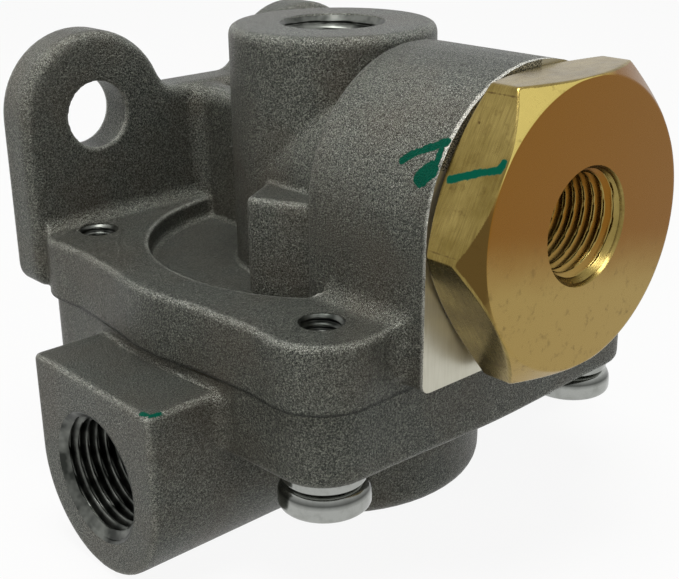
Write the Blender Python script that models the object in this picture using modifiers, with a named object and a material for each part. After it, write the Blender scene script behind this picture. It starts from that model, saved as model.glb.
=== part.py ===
"""Quick exhaust valve with a double check inlet, for compressed air lines.

A cast body and a cast cover are held together by four screws from below. The top boss and the
hexagon cap are the two supply ports, the double check between them feeds whichever is higher,
and the diaphragm below passes that air to the two delivery ports or lets it out at the bottom.

Metres, +Z up. The cap faces -Y and the delivery ports face +X and -X. The shapes are drawn about
the top boss's axis with the castings' parting plane at Z = 0. The whole valve hangs from one empty,
which puts the origin on the mounting face, midway between its two bolt holes.
"""

import math

import bmesh
import bpy
from mathutils import Matrix

# Clearances
FIT_GAP = 0.0003        # between a round piece and its hole, or a cut piece and its neighbour
FACE_GAP = 0.0002       # between two flat faces that are clamped together

# Screws, washers and their pattern
SCREW_X = 0.0241        # half the spacing across the delivery ports
SCREW_Y = 0.0242        # half the spacing from front to back
SCREW_R = 0.0030
SCREW_HEAD_R = 0.00585
SCREW_HEAD_H = 0.00445
SCREW_HEAD_ROUND = 0.0018
SCREW_HEAD_TOP_ROUND = 0.0006
SCREW_TOP_Z = 0.0052    # where the screw ends inside the body
THREAD_MINOR_R = 0.0026
CROSS_L = 0.0056        # the driver recess: length, width and depth
CROSS_W = 0.0014
CROSS_D = 0.0021
CROSS_TAPER = 0.55      # share of its size that the recess keeps at its bottom
WASHER_R = 0.0053
WASHER_T = 0.0014

# Flanges of body and cover: a round corner about each screw, and sides that swell at the middle
CORNER_R = 0.0076
LOBE_RISE = 0.0015      # how far a side swells
LOBE_REACH = 0.0130     # over this much to each side of its middle
WAIST_DIP = 0.0004      # and how far it draws in beside each corner
COVER_CORNER_R = 0.0074
COVER_LOBE_RISE = 0.0009
BODY_FLANGE_T = 0.0087
COVER_FLANGE_T = 0.0090
FLANGE_ROUND = 0.0008
POCKET_R = 0.0265       # round pocket in the top of the flange
POCKET_D = 0.0033
POCKET_ROUND = 0.0010

# Supply boss
BOSS_R = 0.01405
BOSS_TOP_Z = 0.0382
BOSS_ROUND = 0.0013

# Barrel for the cap's thread, and the round neck behind it that holds the double check
BARREL_Z = 0.0192       # height of its axis
BARREL_R = 0.0182
BARREL_FACE_Y = -0.0352  # machined face under the cap
BARREL_REAR_Y = -0.0149
BARREL_BOTTOM_Z = 0.00105
BARREL_DRAFT = 0.014    # how far its sides lean out, per unit of height
BARREL_ROUND = 0.0007   # its rear edge
BARREL_BOTTOM_ROUND = 0.0010
NECK_R = 0.0140
NECK_END_Y = -0.0008
FOOT_ROUND = 0.0026     # fillets along the barrel's foot and up the front of the flange
FRONT_ROUND = 0.0020

# Buttress in the corner between boss and barrel, on both sides
BUTTRESS_TOP_Z = 0.0187
BUTTRESS_REACH = 0.00645  # from the side of the boss out to its corner
BUTTRESS_Y = -0.0058
BUTTRESS_FRONT_REACH = 0.00215  # and where it runs into the barrel
BUTTRESS_ROUND = 0.0008

# Mounting plate with two ears
PLATE_FRONT_Y = 0.0283
PLATE_T = 0.0063
PLATE_FOOT_Z = 0.00015  # the plate stops just above the parting face
EAR_X = 0.0201
EAR_Z = 0.0242
EAR_R = 0.0119
EAR_HOLE_R = 0.0048
SADDLE_Z = 0.0264       # top of the plate between the ears
SADDLE_R = 0.0038
PLATE_CORNER_R = 0.0024
PLATE_FRONT_ROUND = 0.0015
PLATE_BACK_ROUND = 0.0006
PLATE_FOOT_ROUND = 0.0022
WEB_T = 0.0050          # web between plate and boss
WEB_DROP = 0.0004       # how far its top lies below the saddle
WEB_ROUND = 0.0022
WEB_FLARE_R = 0.0025

# Pipe ports: thread root radius and chamfer at the mouth, thread and drill depth
PIPE_TAPER = 1 / 32     # fall of the radius along a taper pipe thread
SUPPLY_ROOT_R = 0.00690
SUPPLY_CHAMFER_R = 0.00720
SUPPLY_THREAD_L = 0.0115
SUPPLY_DRILL_R = 0.0056
DELIVERY_ROOT_R = 0.00860
DELIVERY_CHAMFER_R = 0.00906
DELIVERY_THREAD_L = 0.0120
DELIVERY_DRILL_R = 0.0070

# Cover
BOWL_R = 0.0210
BOWL_BOTTOM_Z = -0.0262
BOWL_ROUND = 0.0027
BOWL_WALL = 0.0035
PORT_FACE_X = 0.0420
PORT_TOP_Z = -0.0017
PORT_Z = -0.0151        # height of the delivery ports' axis
PORT_HALF_W = 0.01335
PORT_ROUND = 0.0007
PORT_FLARE_R = 0.0015   # fillet from the block's side to the flange
EXHAUST_R = 0.0052
EXHAUST_CHAMFER = 0.0009
SEAT_R = 0.0076         # outside of the tube that ends in the exhaust seat
SEAT_ROUND = 0.0008

# Diaphragm, its spring and its chamber
DIAPHRAGM_GAP = 0.0006  # air gap round its edge
DIAPHRAGM_T = 0.0024
DIAPHRAGM_LIFT = 0.0010
DIAPHRAGM_TOP_Z = -0.0009
RIM_SEAT_INSET = 0.0041  # from the diaphragm's edge in to the ring of the body that it seals on
RIM_SEAT_W = 0.0020
CHAMBER_D = 0.0022      # depth of the body's chamber round that ring
SPRING_R = 0.0044
SPRING_WIRE_R = 0.0004
SPRING_TURNS = 4.5
SPRING_WELL_Z = 0.0080
SPRING_SEAT_R = 0.0056
SPRING_SEAT_T = 0.0008
SPRING_SEAT_HUB_R = 0.0028
SPRING_SEAT_HUB_H = 0.0018
SEAL_INSET = 0.0018     # from the chamber's wall out to the middle of the seal between the castings
SEAL_WIRE_R = 0.00075
SEAL_GROOVE_D = 0.0019

# Double check
CHECK_BORE_R = 0.0124
CHECK_BACK_Y = -0.0095  # rear wall of the check chamber
CHECK_SEAT_H = 0.0015
CHECK_SEAT_R = 0.0066
CHECK_PASSAGE_R = 0.0045
CHECK_DISC_R = 0.0082
CHECK_DISC_T = 0.0030
CHECK_TRAVEL = 0.0020
GUIDE_WALL = 0.0030
GUIDE_WINDOWS = 6
GUIDE_WINDOW_W = 0.0042
OUTLET_R = 0.0025       # slanted hole from the check chamber to the diaphragm

# Hexagon cap
HEX_FLATS = 0.03493
HEX_T = 0.0079
HEX_TURN = math.radians(1.0)
HEX_BLUNT = 0.0007      # corners taken off
HEX_FACE_R = 0.0169     # circles left on the face and on the back by 30 degree chamfers
HEX_BACK_R = 0.0173
CAP_THREAD_R = 0.0139
CAP_THREAD_END_Y = -0.0240
CAP_NECK_R = 0.0124
CAP_NECK_L = 0.0024
CAP_NOSE_R = 0.0072
CAP_SEAL_WIRE_R = 0.0008

# Worked out from the above
PLATE_BACK_Y = PLATE_FRONT_Y + PLATE_T
POCKET_FLOOR_Z = BODY_FLANGE_T - POCKET_D
COVER_TOP_Z = -FACE_GAP
COVER_FLANGE_Z = COVER_TOP_Z - COVER_FLANGE_T
DIAPHRAGM_Z = DIAPHRAGM_TOP_Z - DIAPHRAGM_T
EXHAUST_SEAT_Z = DIAPHRAGM_Z - FIT_GAP
RIM_SEAT_Z = DIAPHRAGM_TOP_Z + DIAPHRAGM_LIFT + FIT_GAP
SPRING_SEAT_Z = DIAPHRAGM_TOP_Z + FIT_GAP
CHECK_SEAT_Y = CHECK_BACK_Y - CHECK_SEAT_H
CHECK_DISC_Y = CHECK_SEAT_Y - FIT_GAP - CHECK_DISC_T / 2
CAP_NOSE_Y = CHECK_DISC_Y - CHECK_DISC_T / 2 - CHECK_TRAVEL - FIT_GAP
HEX_BACK_Y = BARREL_FACE_Y - FACE_GAP
HEX_FRONT_Y = HEX_BACK_Y - HEX_T
CAP_THREAD_START_Y = HEX_BACK_Y + CAP_NECK_L
CAP_SEAL_R = CAP_NECK_R + FIT_GAP + CAP_SEAL_WIRE_R
CAP_COUNTERBORE_R = CAP_SEAL_R + CAP_SEAL_WIRE_R + FIT_GAP
WASHER_TOP_Z = COVER_FLANGE_Z - FACE_GAP
SCREW_HEAD_Z = WASHER_TOP_Z - WASHER_T - FACE_GAP
CHAMBER_R = BOWL_R - BOWL_WALL
DIAPHRAGM_R = CHAMBER_R - DIAPHRAGM_GAP
RIM_SEAT_R = DIAPHRAGM_R - RIM_SEAT_INSET
SEAL_R = CHAMBER_R + SEAL_INSET

PAST = 0.0010           # how far a cutter runs past the face that it opens
ROUND_STEPS = 60        # facets of a large round piece
PORT_STEPS = 40
SMALL_STEPS = 24

parts = bpy.data.collections.new("quick_exhaust_valve")
cutters = bpy.data.collections.new("cutters")


def clear_scene():
    for obj in list(bpy.data.objects):
        bpy.data.objects.remove(obj, do_unlink=True)
    for collection in (parts, cutters):
        bpy.context.scene.collection.children.link(collection)


# Points of outlines

def arc(centre, radius, start, end, steps):
    """Points on a circle from one angle to another, in degrees, both ends included."""
    turn = [math.radians(start + (end - start) * i / steps) for i in range(steps + 1)]
    return [(centre[0] + radius * math.cos(a), centre[1] + radius * math.sin(a)) for a in turn]


def mirrored(points):
    """The points followed by their mirror images in x, as one closed outline."""
    return points + [(-x, y) for x, y in reversed(points) if abs(x) > 0]


def side_swell(along, half, rise):
    """How far one side of a flange stands out at a point along it."""
    t = abs(along)
    if t < LOBE_REACH:
        return rise * math.cos(math.pi / 2 * t / LOBE_REACH) ** 2
    return -WAIST_DIP * math.sin(math.pi * (t - LOBE_REACH) / (half - LOBE_REACH)) ** 2


def flange_outline(corner_r, rise, steps=18, corner_steps=7):
    """Square with a round corner about each screw and a gentle wave along each side."""
    points = []
    for quarter in range(4):
        across, half = (SCREW_X, SCREW_Y) if quarter % 2 == 0 else (SCREW_Y, SCREW_X)
        turn = math.radians(90 * quarter)
        side = []
        for i in range(1, steps):
            along = half * (2 * i / steps - 1)
            side.append((across + corner_r + side_swell(along, half, rise), along))
        side += arc((across, half), corner_r, 0, 90, corner_steps)
        cos, sin = math.cos(turn), math.sin(turn)
        points += [(x * cos - y * sin, x * sin + y * cos) for x, y in side]
    return points


def barrel_outline():
    """Arch on leaning sides, with its lower corners rounded."""
    foot_x = BARREL_R + BARREL_DRAFT * (BARREL_Z - BARREL_BOTTOM_Z)
    small = BARREL_BOTTOM_ROUND
    right = arc((foot_x - small, BARREL_BOTTOM_Z + small), small, -90, 0, 3)
    right += arc((0, BARREL_Z), BARREL_R, 0, 90, 12)[:-1]
    return mirrored(right + [(0, BARREL_Z + BARREL_R)])


def ear_plate_outline():
    """Right half of the mounting plate seen from the front, then mirrored."""
    half_w = EAR_X + EAR_R
    rise = SADDLE_Z + SADDLE_R - EAR_Z
    run = math.sqrt((EAR_R + SADDLE_R) ** 2 - rise ** 2)
    tangent = math.degrees(math.atan2(rise, -run))
    right = arc((half_w - PLATE_CORNER_R, PLATE_FOOT_Z + PLATE_CORNER_R), PLATE_CORNER_R, -90, 0, 4)
    right += arc((EAR_X, EAR_Z), EAR_R, 0, tangent, 22)
    right += arc((EAR_X - run, SADDLE_Z + SADDLE_R), SADDLE_R, tangent - 180, -90, 6)[1:]
    return mirrored(right)


def cove(corner, free, radius, sink=0.0010, steps=6):
    """Section of a fillet in the corner between two walls, sunk a little into both.

    free holds the signs of the two directions that lead from the corner into the open.
    """
    u, v = corner
    points = [(u - free[0] * sink, v - free[1] * sink), (u - free[0] * sink, v + free[1] * radius)]
    for i in range(steps + 1):
        turn = math.pi / 2 * i / steps
        points.append((u + free[0] * radius * (1 - math.cos(turn)),
                       v + free[1] * radius * (1 - math.sin(turn))))
    return points + [(u + free[0] * radius, v - free[1] * sink)]


# Solids

def material(name, red, green, blue, roughness, metallic):
    found = bpy.data.materials.get(name)
    if found:
        return found
    made = bpy.data.materials.new(name)
    made.use_nodes = True
    shader = made.node_tree.nodes["Principled BSDF"]
    shader.inputs["Base Color"].default_value = (red, green, blue, 1.0)
    shader.inputs["Roughness"].default_value = roughness
    shader.inputs["Metallic"].default_value = metallic
    return made


def add(name, mesh, collection=cutters):
    obj = bpy.data.objects.new(name, mesh)
    collection.objects.link(obj)
    if collection is cutters:
        obj.hide_render = True
        obj.display_type = "WIRE"
    return obj


def evaluated_mesh(obj, name):
    bpy.context.view_layer.update()
    graph = bpy.context.evaluated_depsgraph_get()
    return bpy.data.meshes.new_from_object(obj.evaluated_get(graph), depsgraph=graph)


def tidy_normals(mesh, weld=0.000002):
    bm = bmesh.new()
    bm.from_mesh(mesh)
    bmesh.ops.remove_doubles(bm, verts=bm.verts, dist=weld)
    bmesh.ops.recalc_face_normals(bm, faces=bm.faces)
    bm.to_mesh(mesh)
    bm.free()


def turned(name, profile, axis="Z", place=(0, 0, 0), steps=ROUND_STEPS, closed=False):
    """A turned solid. profile holds (radius, height) down the outer side; closed joins its ends."""
    mesh = bpy.data.meshes.new(name)
    edges = [(i, i + 1) for i in range(len(profile) - 1)]
    if closed:
        edges.append((len(profile) - 1, 0))
    mesh.from_pydata([(r, 0, z) for r, z in profile], edges, [])
    obj = add(name, mesh)
    screw = obj.modifiers.new("turn", "SCREW")
    screw.axis = "Z"
    screw.steps = screw.render_steps = steps
    screw.use_merge_vertices = True
    screw.merge_threshold = 0.00001
    made = evaluated_mesh(obj, name)
    bpy.data.objects.remove(obj, do_unlink=True)
    tidy_normals(made)
    # along -Y the profile's height runs towards the front, along X it runs outwards
    turn = {"Z": Matrix.Identity(4),
            "Y": Matrix.Rotation(-math.pi / 2, 4, "X"),
            "X": Matrix.Rotation(math.pi / 2, 4, "Y"),
            "-X": Matrix.Rotation(-math.pi / 2, 4, "Y")}[axis]
    made.transform(Matrix.Translation(place) @ turn)
    return add(name, made)


def extruded(name, outline, low, high, axis="Z"):
    """A flat outline made thick. It is drawn in XY for Z, in XZ for Y and in YZ for X."""
    curve = bpy.data.curves.new(name, "CURVE")
    curve.dimensions = "2D"
    curve.fill_mode = "BOTH"
    curve.extrude = (high - low) / 2
    spline = curve.splines.new("POLY")
    spline.points.add(len(outline) - 1)
    for point, (u, v) in zip(spline.points, outline):
        point.co = (u, v, 0, 1)
    spline.use_cyclic_u = True
    source = add(name, curve)
    made = evaluated_mesh(source, name)
    bpy.data.objects.remove(source, do_unlink=True)
    made.transform(Matrix.Translation((0, 0, (low + high) / 2)))
    columns = {"Z": ((1, 0, 0), (0, 1, 0), (0, 0, 1)),
               "Y": ((1, 0, 0), (0, 0, 1), (0, 1, 0)),
               "X": ((0, 1, 0), (0, 0, 1), (1, 0, 0))}[axis]
    made.transform(Matrix(columns).transposed().to_4x4())
    tidy_normals(made)
    bm = bmesh.new()
    bm.from_mesh(made)
    bmesh.ops.dissolve_limit(bm, angle_limit=math.radians(0.5), verts=bm.verts, edges=bm.edges)
    bm.to_mesh(made)
    bm.free()
    return add(name, made)


def round_edges(obj, width, pick, segments=3, sharper_than=35):
    """Rounds the edges that pick() takes by their midpoint, where two faces meet at an angle."""
    bm = bmesh.new()
    bm.from_mesh(obj.data)
    chosen = []
    for edge in bm.edges:
        middle = (edge.verts[0].co + edge.verts[1].co) / 2
        if math.degrees(edge.calc_face_angle(0)) > sharper_than and pick(middle):
            chosen.append(edge)
    bmesh.ops.bevel(bm, geom=chosen, offset=width, offset_type="OFFSET", segments=segments,
                    profile=0.5, affect="EDGES", clamp_overlap=True)
    bm.to_mesh(obj.data)
    bm.free()
    return obj


def combine(obj, others, operation):
    for other in others:
        step = obj.modifiers.new(other.name, "BOOLEAN")
        step.operation = operation
        step.object = other
        step.solver = "EXACT"
    return obj


def settled(obj, name, look, joint=(0, 0, 0)):
    """The evaluated shape as a piece of the valve, with its origin on the point that it moves about."""
    mesh = evaluated_mesh(obj, name)
    mesh.transform(Matrix.Translation((-joint[0], -joint[1], -joint[2])))
    mesh.shade_smooth()
    mesh.set_sharp_from_angle(angle=math.radians(32))
    mesh.materials.clear()
    mesh.materials.append(look)
    piece = add(name, mesh, parts)
    piece.location = joint
    piece.parent = valve_frame
    obj.name = name + "_uncut"
    return piece


def pipe_port(name, root_r, chamfer_r, thread_l, drill_r, drill_l, axis, place):
    """Cutter for a taper pipe port: chamfer, thread root and drill, its mouth at height 0."""
    profile = [(0, PAST), (chamfer_r + PAST, PAST), (chamfer_r, 0),
               (root_r, root_r - chamfer_r),
               (root_r - thread_l * PIPE_TAPER, -thread_l),
               (drill_r, -thread_l - PAST), (drill_r, -drill_l), (0, -drill_l - drill_r / 2)]
    return turned(name, profile, axis, place, PORT_STEPS)


# Body

def barrel():
    arch = extruded("barrel", barrel_outline(), BARREL_FACE_Y, BARREL_REAR_Y, "Y")
    return round_edges(arch, BARREL_ROUND, lambda p: p.y > BARREL_REAR_Y - 0.0001)


def neck():
    right = [(NECK_R, POCKET_FLOOR_Z - PAST)] + arc((0, BARREL_Z), NECK_R, 0, 90, 14)[:-1]
    outline = mirrored(right + [(0, BARREL_Z + NECK_R)])
    return extruded("neck", outline, BARREL_REAR_Y - PAST, NECK_END_Y, "Y")


def buttress(side):
    """Shoulder in the corner between boss and barrel, down to the pocket's floor."""
    front_y = BARREL_REAR_Y - PAST
    outline = [(side * x, y) for x, y in
               ((BOSS_R * 0.93, BUTTRESS_Y / 4), (BOSS_R + BUTTRESS_REACH, BUTTRESS_Y),
                (BOSS_R + BUTTRESS_FRONT_REACH, front_y), (BOSS_R / 2, front_y))]
    block = extruded("buttress", outline, POCKET_FLOOR_Z - PAST, BUTTRESS_TOP_Z)
    return round_edges(block, BUTTRESS_ROUND, lambda p: abs(p.x) > BOSS_R and p.y > front_y + PAST
                       and p.z > POCKET_FLOOR_Z)


def web():
    """Upright web from the plate to the boss, flared where it meets the plate."""
    half = WEB_T / 2
    right = [(half, BOSS_R / 2), (half, PLATE_FRONT_Y - WEB_FLARE_R)]
    right += arc((half + WEB_FLARE_R, PLATE_FRONT_Y - WEB_FLARE_R), WEB_FLARE_R, 180, 90, 6)[1:]
    right += [(half + WEB_FLARE_R, PLATE_FRONT_Y + PLATE_T / 2)]
    top = SADDLE_Z - WEB_DROP
    wall = extruded("web", mirrored(right), POCKET_FLOOR_Z - PAST, top)
    return round_edges(wall, WEB_ROUND, lambda p: p.z > top - 0.0001 and p.y < PLATE_FRONT_Y)


def ear_plate():
    plate = extruded("ear_plate", ear_plate_outline(), PLATE_FRONT_Y, PLATE_BACK_Y, "Y")
    round_edges(plate, PLATE_FRONT_ROUND, lambda p: p.y < PLATE_FRONT_Y + 0.0001)
    return round_edges(plate, PLATE_BACK_ROUND, lambda p: p.y > PLATE_BACK_Y - 0.0001, 2)


def flange(name, outline, low, high, rounded_z):
    slab = extruded(name, outline, low, high)
    return round_edges(slab, FLANGE_ROUND, lambda p: abs(p.z - rounded_z) < 0.0001)


def fillets():
    """Fillets that rise from the flange: in front of the plate and along both sides of the barrel."""
    inset = flange_outline(CORNER_R - FLANGE_ROUND / 2, LOBE_RISE)
    limit = extruded("fillet_limit", inset, -PAST, BODY_FLANGE_T + 2 * FOOT_ROUND)
    foot_x = BARREL_R + BARREL_DRAFT * (BARREL_Z - BODY_FLANGE_T)
    front_y = -SCREW_Y - CORNER_R
    made = [extruded("plate_fillet", cove((PLATE_FRONT_Y, BODY_FLANGE_T), (-1, 1), PLATE_FOOT_ROUND),
                     -SCREW_X - CORNER_R, SCREW_X + CORNER_R, "X")]
    for side in (-1, 1):
        made.append(extruded("barrel_fillet", cove((side * foot_x, BODY_FLANGE_T), (side, 1), FOOT_ROUND),
                             front_y - PAST, BARREL_REAR_Y, "Y"))
    for fillet in made:
        combine(fillet, [limit], "INTERSECT")
    wall_y = front_y + WAIST_DIP
    for side in (-1, 1):
        upright = cove((side * foot_x, wall_y), (side, -1), FRONT_ROUND)
        made.append(extruded("front_fillet", upright, BARREL_BOTTOM_Z + BARREL_BOTTOM_ROUND,
                             BODY_FLANGE_T - FLANGE_ROUND))
    return made


def build_body():
    pocket = turned("pocket", [
        (0, BODY_FLANGE_T + 2 * FOOT_ROUND), (POCKET_R, BODY_FLANGE_T + 2 * FOOT_ROUND)]
        + arc((POCKET_R - POCKET_ROUND, POCKET_FLOOR_Z + POCKET_ROUND), POCKET_ROUND, 0, -90, 4)
        + [(0, POCKET_FLOOR_Z)])
    slab = flange("body_flange", flange_outline(CORNER_R, LOBE_RISE), 0, BODY_FLANGE_T, BODY_FLANGE_T)
    combine(slab, fillets(), "UNION")
    combine(slab, [pocket], "DIFFERENCE")
    boss = turned("boss", [(0, BOSS_TOP_Z)]
                  + arc((BOSS_R - BOSS_ROUND, BOSS_TOP_Z - BOSS_ROUND), BOSS_ROUND, 90, 0, 4)
                  + [(BOSS_R, POCKET_FLOOR_Z - PAST), (0, POCKET_FLOOR_Z - PAST)])
    combine(slab, [boss, neck(), barrel(), buttress(-1), buttress(1), ear_plate(), web()], "UNION")

    supply = pipe_port("supply_port", SUPPLY_ROOT_R, SUPPLY_CHAMFER_R, SUPPLY_THREAD_L,
                       SUPPLY_DRILL_R, BOSS_TOP_Z - BARREL_Z, "Z", (0, 0, BOSS_TOP_Z))
    counterbore_y = CAP_THREAD_START_Y - FACE_GAP
    bore = turned("check_bore", [
        (0, PAST), (CHECK_PASSAGE_R, PAST), (CHECK_PASSAGE_R, CHECK_SEAT_Y),
        (CHECK_SEAT_R, CHECK_SEAT_Y), (CHECK_SEAT_R, CHECK_BACK_Y),
        (CHECK_BORE_R, CHECK_BACK_Y), (CHECK_BORE_R, CAP_THREAD_END_Y + FIT_GAP),
        (CAP_THREAD_R + FIT_GAP, CAP_THREAD_END_Y + FIT_GAP), (CAP_THREAD_R + FIT_GAP, counterbore_y),
        (CAP_COUNTERBORE_R, counterbore_y), (CAP_COUNTERBORE_R, BARREL_FACE_Y - PAST),
        (0, BARREL_FACE_Y - PAST)], "Y", (0, 0, BARREL_Z))
    slant = Matrix.Translation((0, (CHECK_BACK_Y - RIM_SEAT_R) / 2, BODY_FLANGE_T / 2))
    outlet = turned("check_outlet", [(0, 0.0070), (OUTLET_R, 0.0070), (OUTLET_R, -0.0070), (0, -0.0070)],
                    steps=SMALL_STEPS)
    outlet.data.transform(slant @ Matrix.Rotation(math.radians(28), 4, "X"))
    rim_out = RIM_SEAT_R + RIM_SEAT_W
    chamber = turned("diaphragm_chamber", [
        (0, SPRING_WELL_Z), (SPRING_SEAT_R + 2 * FIT_GAP, SPRING_WELL_Z),
        (SPRING_SEAT_R + 2 * FIT_GAP, CHAMBER_D + PAST), (RIM_SEAT_R - PAST, CHAMBER_D + PAST),
        (RIM_SEAT_R, RIM_SEAT_Z + PAST / 2), (RIM_SEAT_R, RIM_SEAT_Z), (rim_out, RIM_SEAT_Z),
        (rim_out, CHAMBER_D), (CHAMBER_R, CHAMBER_D), (CHAMBER_R, -PAST), (0, -PAST)])
    cuts = [supply, bore, outlet, chamber]
    for x in (-SCREW_X, SCREW_X):
        for y in (-SCREW_Y, SCREW_Y):
            step_z = SCREW_TOP_Z + FIT_GAP
            cuts.append(turned("tapped_hole", [
                (0, BODY_FLANGE_T + PAST), (THREAD_MINOR_R, BODY_FLANGE_T + PAST),
                (THREAD_MINOR_R, step_z + PAST), (SCREW_R + FIT_GAP, step_z), (SCREW_R + FIT_GAP, -PAST),
                (0, -PAST)], place=(x, y, 0), steps=SMALL_STEPS))
    for x in (-EAR_X, EAR_X):
        cuts.append(turned("ear_hole", [(0, PLATE_T), (EAR_HOLE_R, PLATE_T), (EAR_HOLE_R, -PLATE_T),
                                        (0, -PLATE_T)], "Y", (x, PLATE_FRONT_Y + PLATE_T / 2, EAR_Z),
                           PORT_STEPS))
    combine(slab, cuts, "DIFFERENCE")
    return settled(slab, "body", cast_aluminium)


# Cover

def port_block(side):
    """Delivery port block: flat on top, half round below, its outer face machined flat."""
    outline = [(PORT_HALF_W, PORT_TOP_Z)] + [(-y, z) for y, z in
               arc((0, PORT_Z), PORT_HALF_W, 180, 360, 28)] + [(-PORT_HALF_W, PORT_TOP_Z)]
    ends = sorted((side * CHAMBER_R, side * PORT_FACE_X))
    block = extruded("port_block", outline, ends[0], ends[1], "X")
    return round_edges(block, PORT_ROUND, lambda p: abs(p.x) > PORT_FACE_X - 0.0001
                       or p.z > PORT_TOP_Z - 0.0001)


def build_cover():
    outline = flange_outline(COVER_CORNER_R, COVER_LOBE_RISE)
    slab = flange("cover_flange", outline, COVER_FLANGE_Z, COVER_TOP_Z, COVER_FLANGE_Z)
    flares = []
    for corner_x in (-SCREW_X - COVER_CORNER_R, SCREW_X + COVER_CORNER_R):
        for corner_y in (-PORT_HALF_W, PORT_HALF_W):
            free = (math.copysign(1, corner_x), math.copysign(1, corner_y))
            flares.append(extruded("port_flare", cove((corner_x, corner_y), free, PORT_FLARE_R),
                                   COVER_FLANGE_Z + FLANGE_ROUND, PORT_TOP_Z - PORT_ROUND))
    bowl = turned("bowl", [(0, COVER_TOP_Z - PAST), (BOWL_R, COVER_TOP_Z - PAST)]
                  + arc((BOWL_R - BOWL_ROUND, BOWL_BOTTOM_Z + BOWL_ROUND), BOWL_ROUND, 0, -90, 5)
                  + [(0, BOWL_BOTTOM_Z)])
    combine(slab, [bowl, port_block(-1), port_block(1)] + flares, "UNION")

    floor_z = BOWL_BOTTOM_Z + BOWL_WALL
    chamber = turned("cover_chamber", [
        (EXHAUST_R / 2, COVER_TOP_Z + PAST), (CHAMBER_R, COVER_TOP_Z + PAST),
        (CHAMBER_R, floor_z + BOWL_ROUND), (CHAMBER_R - BOWL_ROUND, floor_z), (SEAT_R, floor_z),
        (SEAT_R, EXHAUST_SEAT_Z - SEAT_ROUND), (SEAT_R - SEAT_ROUND, EXHAUST_SEAT_Z),
        (EXHAUST_R / 2, EXHAUST_SEAT_Z)], closed=True)
    exhaust = turned("exhaust", [
        (0, COVER_TOP_Z + PAST), (EXHAUST_R, COVER_TOP_Z + PAST),
        (EXHAUST_R, BOWL_BOTTOM_Z + EXHAUST_CHAMFER),
        (EXHAUST_R + EXHAUST_CHAMFER + PAST, BOWL_BOTTOM_Z - PAST), (0, BOWL_BOTTOM_Z - PAST)],
        steps=PORT_STEPS)
    groove_w = SEAL_WIRE_R + FIT_GAP
    groove = turned("seal_groove", [
        (SEAL_R + groove_w, COVER_TOP_Z + PAST), (SEAL_R + groove_w, COVER_TOP_Z - SEAL_GROOVE_D),
        (SEAL_R - groove_w, COVER_TOP_Z - SEAL_GROOVE_D), (SEAL_R - groove_w, COVER_TOP_Z + PAST)],
        closed=True)
    cuts = [chamber, exhaust, groove]
    for side, axis in ((-1, "-X"), (1, "X")):
        cuts.append(pipe_port("delivery_port", DELIVERY_ROOT_R, DELIVERY_CHAMFER_R, DELIVERY_THREAD_L,
                              DELIVERY_DRILL_R, PORT_FACE_X - CHAMBER_R, axis,
                              (side * PORT_FACE_X, 0, PORT_Z)))
    for x in (-SCREW_X, SCREW_X):
        for y in (-SCREW_Y, SCREW_Y):
            hole_r = SCREW_R + FIT_GAP
            cuts.append(turned("screw_hole", [
                (0, COVER_TOP_Z + PAST), (hole_r, COVER_TOP_Z + PAST), (hole_r, COVER_FLANGE_Z - PAST),
                (0, COVER_FLANGE_Z - PAST)], place=(x, y, 0), steps=SMALL_STEPS))
    combine(slab, cuts, "DIFFERENCE")
    return settled(slab, "cover", cast_aluminium)


# Screws and washers

def driver_recess():
    """Cross recess in the face of a screw head, two tapered bars across each other."""
    bars = []
    for turn in (0, 90):
        bm = bmesh.new()
        bmesh.ops.create_cube(bm, size=1)
        for vert in bm.verts:
            keep = CROSS_TAPER if vert.co.z > 0 else 1
            vert.co = (vert.co.x * CROSS_L * keep, vert.co.y * CROSS_W * keep,
                       (vert.co.z + 0.5) * CROSS_D)
        mesh = bpy.data.meshes.new("recess_bar")
        bm.to_mesh(mesh)
        bm.free()
        mesh.transform(Matrix.Rotation(math.radians(turn), 4, "Z"))
        tidy_normals(mesh)
        bars.append(add("recess_bar", mesh))
    return bars


def build_screws():
    head_bottom_z = SCREW_HEAD_Z - SCREW_HEAD_H
    edge = SCREW_HEAD_ROUND
    top_edge = SCREW_HEAD_TOP_ROUND
    profile = [(0, SCREW_TOP_Z), (SCREW_R * 0.75, SCREW_TOP_Z), (SCREW_R, SCREW_TOP_Z - SCREW_R * 0.25),
               (SCREW_R, SCREW_HEAD_Z)]
    profile += arc((SCREW_HEAD_R - top_edge, SCREW_HEAD_Z - top_edge), top_edge, 90, 0, 2)
    profile += arc((SCREW_HEAD_R - edge, head_bottom_z + edge), edge, 0, -90, 5)
    profile.append((0, head_bottom_z))
    washer_profile = [(WASHER_R, WASHER_TOP_Z), (WASHER_R, WASHER_TOP_Z - WASHER_T),
                      (SCREW_R + FIT_GAP, WASHER_TOP_Z - WASHER_T), (SCREW_R + FIT_GAP, WASHER_TOP_Z)]
    corners = [(-1, -1), (1, -1), (1, 1), (-1, 1)]
    for number, (x, y) in enumerate(corners, 1):
        place = (x * SCREW_X, y * SCREW_Y, 0)
        screw = turned("screw", profile, place=place, steps=SMALL_STEPS)
        bars = driver_recess()
        for bar in bars:
            bar.data.transform(Matrix.Translation((place[0], place[1], head_bottom_z - PAST / 10)))
        combine(screw, bars, "DIFFERENCE")
        settled(screw, f"cover_screw_{number}", zinc_plated_steel)
        washer = turned("washer", washer_profile, place=place, steps=SMALL_STEPS, closed=True)
        settled(washer, f"washer_{number}", zinc_plated_steel)


# Seals, diaphragm and spring

def ring(name, radius, wire_r, axis, place):
    """An O-ring."""
    section = arc((radius, 0), wire_r, 90, -270, 7)[:-1]
    return turned(name, section, axis, place, PORT_STEPS, closed=True)


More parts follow.
